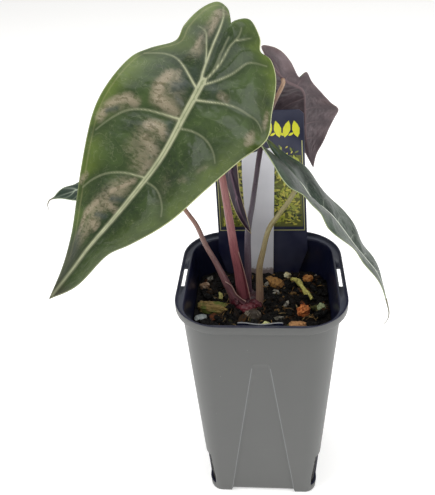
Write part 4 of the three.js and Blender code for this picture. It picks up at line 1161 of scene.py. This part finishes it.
# Strokes of painted sheen and of painted shade in the hollows on it: a line in shares along and across, its
# reach and strength
PAINTED_SHEEN_A = [
    ([(0.25, -0.42), (0.283, -0.44), (0.315, -0.38), (0.333, -0.1)], 3.6, 1.0),
    ([(0.225, -0.36), (0.25, -0.3)], 2.4, 0.6), ([(0.395, -0.31), (0.385, -0.2), (0.4, -0.1)], 3.2, 1.0),
    ([(0.432, -0.29), (0.463, -0.09)], 3.4, 0.8), ([(0.495, -0.09), (0.525, -0.1)], 3.2, 0.9),
    ([(0.473, -0.39), (0.44, -0.36)], 5.5, 0.35),
    ([(0.422, -0.89), (0.388, -0.85), (0.365, -0.78), (0.35, -0.69), (0.355, -0.57)], 2.8, 0.9),
    ([(0.593, -0.89), (0.613, -0.95)], 2.2, 0.7),
    ([(0.562, -0.14), (0.585, -0.22), (0.615, -0.35)], 2.4, 1.0),
    ([(0.655, -0.31), (0.667, -0.06)], 2.0, 0.9), ([(0.66, -0.5), (0.705, -0.66), (0.775, -0.68)], 3.4, 0.9),
    ([(0.735, -0.24), (0.72, -0.45)], 3.2, 0.9), ([(0.03, -0.65), (0.048, -0.46), (0.072, -0.39)], 3.4, 0.95),
    ([(0.11, -0.49), (0.133, -0.51)], 3.4, 0.8), ([(0.225, 0.26), (0.228, 0.34)], 2.2, 0.7),
    ([(0.21, 0.92), (0.235, 0.9)], 1.8, 0.8), ([(0.275, 0.8), (0.29, 0.86)], 2.4, 0.8),
    ([(0.41, 0.7), (0.43, 0.66)], 2.4, 0.3), ([(0.475, 0.6), (0.48, 0.52)], 2.8, 0.3),
    ([(0.27, -0.32), (0.31, -0.2)], 7.5, 0.5), ([(0.42, -0.26), (0.5, -0.18)], 8.0, 0.5),
    ([(0.6, -0.25), (0.68, -0.42), (0.77, -0.5)], 9.0, 0.62), ([(0.39, -0.82), (0.36, -0.62)], 5.0, 0.4),
    ([(0.05, -0.5), (0.13, -0.42)], 7.0, 0.5), ([(0.5, 0.3), (0.56, 0.5)], 7.0, 0.2),
]
PAINTED_SHADE_A = [
    ([(0.273, -0.26), (0.247, -0.19)], 2.8, 1.0), ([(0.288, -0.19), (0.3, -0.12)], 2.0, 0.7),
    ([(0.385, -0.74), (0.4, -0.84)], 1.4, 1.0), ([(0.635, -0.29), (0.628, -0.07)], 1.6, 1.0),
    ([(0.695, -0.42), (0.695, -0.17)], 1.6, 1.0), ([(0.802, -0.72), (0.865, -0.42), (0.93, -0.5)], 8.0, 1.0),
    ([(0.36, -0.1), (0.4, -0.04)], 2.2, 0.8), ([(0.225, -0.1), (0.2, -0.2)], 3.0, 0.7),
    ([(0.2, 0.1), (0.22, 0.16)], 2.4, 0.6),
]
HAIR_TIPS = {
    "c": [(74.6, -6.6, 146.5), (76.3, -6.8, 140.5), (77.2, -7.4, 136), (76.6, -8, 131.5),
          (74.6, -8.4, 128.5)],
    "d": [(-130.5, 29.2, 198), (-133.4, 28.6, 196.4), (-134.8, 28.2, 193.8), (-135, 28, 190)],
}
WINGS = {
    "a": ([(-9.6, 4.2, 134.5), (-10.2, 4.0, 145), (-11.8, 3.8, 160), (-14.0, 3.2, 174)],
          [(-6.6, 2.6, 135.5), (-7.8, 2.6, 145), (-10.4, 2.6, 160), (-13.6, 2.6, 174.5)]),
    "d": ([(-10.7, -3.2, 138.9), (-14.1, -1.6, 140.8), (-17.5, 1, 142.8), (-20.7, 4.2, 147),
           (-23.2, 5.4, 150)],
          [(-9.5, -5.4, 143.1), (-12.6, -3.8, 144.5), (-15.7, -1.2, 146), (-18.6, 2, 149.7),
           (-22.6, 4.4, 151)]),
}
SIDE_VEINS = {"a": VEINS_A, "b": side_veins(6), "c": side_veins(6, 0.1, 0.16), "d": side_veins(8, 0.12, 0.1),
              "e": side_veins(3, 0.1, 0.2)}
# Half widths of the midrib and of the side veins
RIBS = {"a": (1.5, 0.36), "b": (0.55, 0.16), "c": (0.6, 0.16), "d": (0.55, 0.35), "e": (0.35, 0.16)}
LEAF_SLOTS = {"a": "leaf_green", "b": "leaf_purple", "c": "leaf_silver", "d": "leaf_green",
              "e": "leaf_purple"}
STALK_SLOTS = {"a": "petiole_red", "b": "petiole_dark", "c": "petiole_olive", "d": "petiole_mauve",
               "e": "petiole_dark"}


def stroke_values(piece, name, strokes):
    """How strongly soft strokes cover each point of the big leaf."""
    shares = np.zeros((2, len(piece.data.vertices)), np.float32)
    for row, axis in zip(shares, ("along", "across")):
        piece.data.attributes[axis].data.foreach_get("value", row)
    place = shares.T.astype(float) * LEAF_SPAN
    total = np.zeros(len(place))
    for line, reach, strength in strokes:
        near = np.full(len(place), 1e3)
        run = np.array(line) * LEAF_SPAN
        for a, b in zip(run[:-1], run[1:]):
            u = np.clip((place - a) @ (b - a) / ((b - a) @ (b - a)), 0, 1)
            near = np.minimum(near, np.linalg.norm(place - a - u[:, None] * (b - a), axis=1))
        total = np.maximum(total, strength * np.exp(-(near / reach) ** 2))
    add_values(piece, name, total)


for key, slot in LEAF_SLOTS.items():
    leaf = make_blade(key, SIDE_VEINS[key], *RIBS[key], *leaf_materials[key])
    if key == "a":
        stroke_values(leaf, "painted_sheen", PAINTED_SHEEN_A)
        stroke_values(leaf, "painted_shade", PAINTED_SHADE_A)
    settle(leaf, slot, f"blade_{key}")
    if key in HAIR_TIPS:
        hair, hair_faces, _, _ = tube_mesh(HAIR_TIPS[key], [0.55, 0.42, 0.3, 0.16], 8, 24)
        settle(add_object(f"hair_tip_{key}", hair, hair_faces, [hair_material]), slot)
for key, slot in STALK_SLOTS.items():
    wings = [flap_mesh(*WINGS[key])] if key in WINGS else []
    settle(make_stalk(key, stalk_materials[key], wings), slot, f"petiole_{key}")


# The crown and the fibrous stub

parts = [stack_mesh(CROWN_RINGS, 72, 40, crown_knock, 0.4)]
for place, (sx, sy, sz), turn, seed in CROWN_LUMPS:
    body, tris = lump((sx, sy, sz * 1.15), turn, seed, 5, 0.26)
    parts.append((body + np.array(place), tris))
settle(merge(parts, "crown_look", [crown_material()], smooth=True), "crown", "crown")

stub_points, stub_faces = stack_mesh(STUB_RINGS, 64, 40, stub_knock, 0.3)
stub_slots = [0] * len(stub_faces)
for _ in range(110):
    angle = rng.uniform(math.pi, 2 * math.pi)
    x, y = -5.6 + 5.0 * math.cos(angle), -7 + 3.6 * math.sin(angle)
    lean = rng.uniform(0.2, 0.75)
    run = [(x * 1.02, y - 0.2, 133.6), (x * 0.98, y, 135.2),
           (-5.3 + (x + 5.3) * lean, -7.4 + (y + 7.4) * lean, 137.4)]
    join_part(stub_points, stub_faces, tube_mesh(run, [0.2, 0.3, 0.15], 5, 8))
stub_slots += [1] * (len(stub_faces) - len(stub_slots))
settle(add_object("stub", stub_points, stub_faces, stub_materials, slots=stub_slots), "corm", "corm")


# The picture tag: made-up leaves on a navy card, with a thin frame and a row of plain leaflets on top

CARD = TAGS["picture_tag"]
FRAME, ORNAMENT, GROUND = 1, 6, 7
FIELD = (167.5, 217.0)
FRAME_LINE = SimpleNamespace(low=165.2, high=226.5, inset=1.3, wide=0.5, lift=0.13)
ORNAMENT_ROW = SimpleNamespace(first=-22.9, step=5.5, z=233.8, size=5.4, small=1.9, drop=3.2, lift=0.12)
LEAF_SHAPE = [(-1, 0), (-0.6, -0.3), (0, -0.42), (0.55, -0.28), (1, 0), (0.55, 0.28), (0, 0.42), (-0.6, 0.3)]
card_points, card_faces = tag_plate(CARD)
card_slots = [0] * len(card_faces)


def card_patch(corners, slot, lift):
    """A flat printed shape on the card's front; its corners run anticlockwise from the front."""
    flat = [(x, tag_y(CARD, z, -lift), z) for x, z in corners]
    join_part(card_points, card_faces, (flat, [range(len(flat))]))
    card_slots.append(slot)


def card_edge(z):
    """How far the card reaches left and right at a height."""
    left = np.interp(z, [131, 149.5, 163, 197, 243], [-23.8, -29.4, -28.8, -29.2, -29])
    right = np.interp(z, [131, 149.5, 163, 243], [24.3, 30.2, 29.6, 25.6])
    return float(left), float(right)


def card_rows(low, high, inset):
    """Steps up the card: the two heights of each, and the card's edges there, drawn in by an inset."""
    heights = np.linspace(low, high, 9)
    edges = [(left + inset, right - inset) for left, right in map(card_edge, heights)]
    return zip(heights[:-1], heights[1:], edges[:-1], edges[1:])


def card_leaf(x, z, size, angle, slot, lift):
    c, s = math.cos(angle), math.sin(angle)
    card_patch([(x + size * (a * c - b * s), z + size * (a * s + b * c)) for a, b in LEAF_SHAPE], slot, lift)


for a, b, (l0, r0), (l1, r1) in card_rows(*FIELD, 2.4):
    card_patch([(l0, a), (r0, a), (r1, b), (l1, b)], GROUND, 0.02)
for k in range(1150):
    z = rng.uniform(FIELD[0] + 1.6, FIELD[1] + 6)
    left, right = card_edge(z)
    x = rng.uniform(left + 4.2, right - 4.2)
    if z > FIELD[1] - 1 and rng.random() < 0.6:
        continue
    size = rng.uniform(0.8, 2.0)
    card_leaf(x, z, size, rng.uniform(0, math.pi), int(rng.choice([2, 2, 3, 3, 4, 5])), 0.03 + 0.00006 * k)
row = ORNAMENT_ROW
for k in range(9):
    x = row.first + k * row.step
    card_leaf(x, row.z, row.size, 1.35 if k % 2 else 1.8, ORNAMENT, row.lift)
    if k < 8:
        card_leaf(x + 2.7, row.z - row.drop, row.small, 0.5 if k % 2 else 2.6, ORNAMENT, row.lift)
wide = FRAME_LINE.wide
for a, b, (l0, r0), (l1, r1) in card_rows(FRAME_LINE.low, FRAME_LINE.high, FRAME_LINE.inset):
    for corners in ([(r0 - wide, a), (r0, a), (r1, b), (r1 - wide, b)],
                    [(l0, a), (l0 + wide, a), (l1 + wide, b), (l1, b)]):
        card_patch(corners, FRAME, FRAME_LINE.lift)
z = FRAME_LINE.low
left, right = card_edge(z)
left, right = left + FRAME_LINE.inset, right - FRAME_LINE.inset
card_patch([(left, z - wide), (right, z - wide), (right, z), (left, z)], FRAME, FRAME_LINE.lift)
settle(add_object("picture_card", card_points, card_faces, card_materials, smooth=False, slots=card_slots),
       "tag_navy", "picture_tag")

label_material = card_material("label_white", "eeeff4", 0.38, stain="6b4630")
settle(add_object("label_card", *tag_plate(TAGS["name_label"]), [label_material], smooth=False),
       "tag_white", "name_label")


# Camera, floor and light

def turned_camera(azimuth, elevation, roll, place, focal_pixels):
    """A camera turned round the plant; its place is in millimetres."""
    az, el, ro = (math.radians(v) for v in (azimuth, elevation, roll))
    back = Vector((math.sin(az) * math.cos(el), -math.cos(az) * math.cos(el), math.sin(el)))
    right = Vector((math.cos(az), math.sin(az), 0))
    up = back.cross(right)
    right, up = right * math.cos(ro) + up * math.sin(ro), -right * math.sin(ro) + up * math.cos(ro)
    data = bpy.data.cameras.new("camera")
    data.sensor_width = 36
    data.lens = focal_pixels / 495 * 36
    data.clip_start = 0.01
    camera = bpy.data.objects.new("camera", data)
    rows = [[right[k], up[k], back[k], place[k] * MM] for k in range(3)]
    camera.matrix_world = Matrix(rows + [[0, 0, 0, 1]])
    bpy.context.scene.collection.objects.link(camera)
    bpy.context.scene.camera = camera


def panel_light(name, place, target, size, power, shiny=True):
    """A soft panel; one that isn't shiny stays out of reflections."""
    data = bpy.data.lights.new(name, "AREA")
    data.shape = "RECTANGLE"
    data.size, data.size_y = size
    data.energy = power
    light = bpy.data.objects.new(name, data)
    light.location = place
    light.visible_glossy = shiny
    light.rotation_euler = (Vector(target) - Vector(place)).to_track_quat("-Z", "Y").to_euler()
    bpy.context.scene.collection.objects.link(light)


turned_camera(5.9, 33.0, -3.4, (6.4, -310.0, 381.7), 626.3)
floor_white = Shader("floor_white", Base_Color=rgb("fafafa"), Roughness=0.85, Emission_Color=rgb("ffffff"),
                     Emission_Strength=0.32)
floor_corners = [(-9000, -5000, 0), (9000, -5000, 0), (9000, 20000, 0), (-9000, 20000, 0)]
add_object("floor", floor_corners, [(0, 1, 2, 3)], [floor_white.material], smooth=False)
panel_light("sky_panel", (0.0, 0.15, 1.3), (0, 0, 0.15), (1.4, 1.2), 9)
panel_light("left_panel", (-0.95, -0.45, 0.85), (0, 0, 0.2), (0.7, 0.9), 7, shiny=False)
panel_light("right_panel", (1.0, -0.5, 0.6), (0, 0, 0.15), (0.6, 0.9), 4.5)
world = bpy.data.worlds.new("studio")
world.use_nodes = True
backdrop = world.node_tree.nodes["Background"]
backdrop.inputs[0].default_value = rgb("f9f8f5")
backdrop.inputs[1].default_value = 0.55
scene = bpy.context.scene
scene.world = world
scene.view_settings.view_transform = "Standard"
scene.view_settings.exposure = 0.0
scene.cycles.use_denoising = True
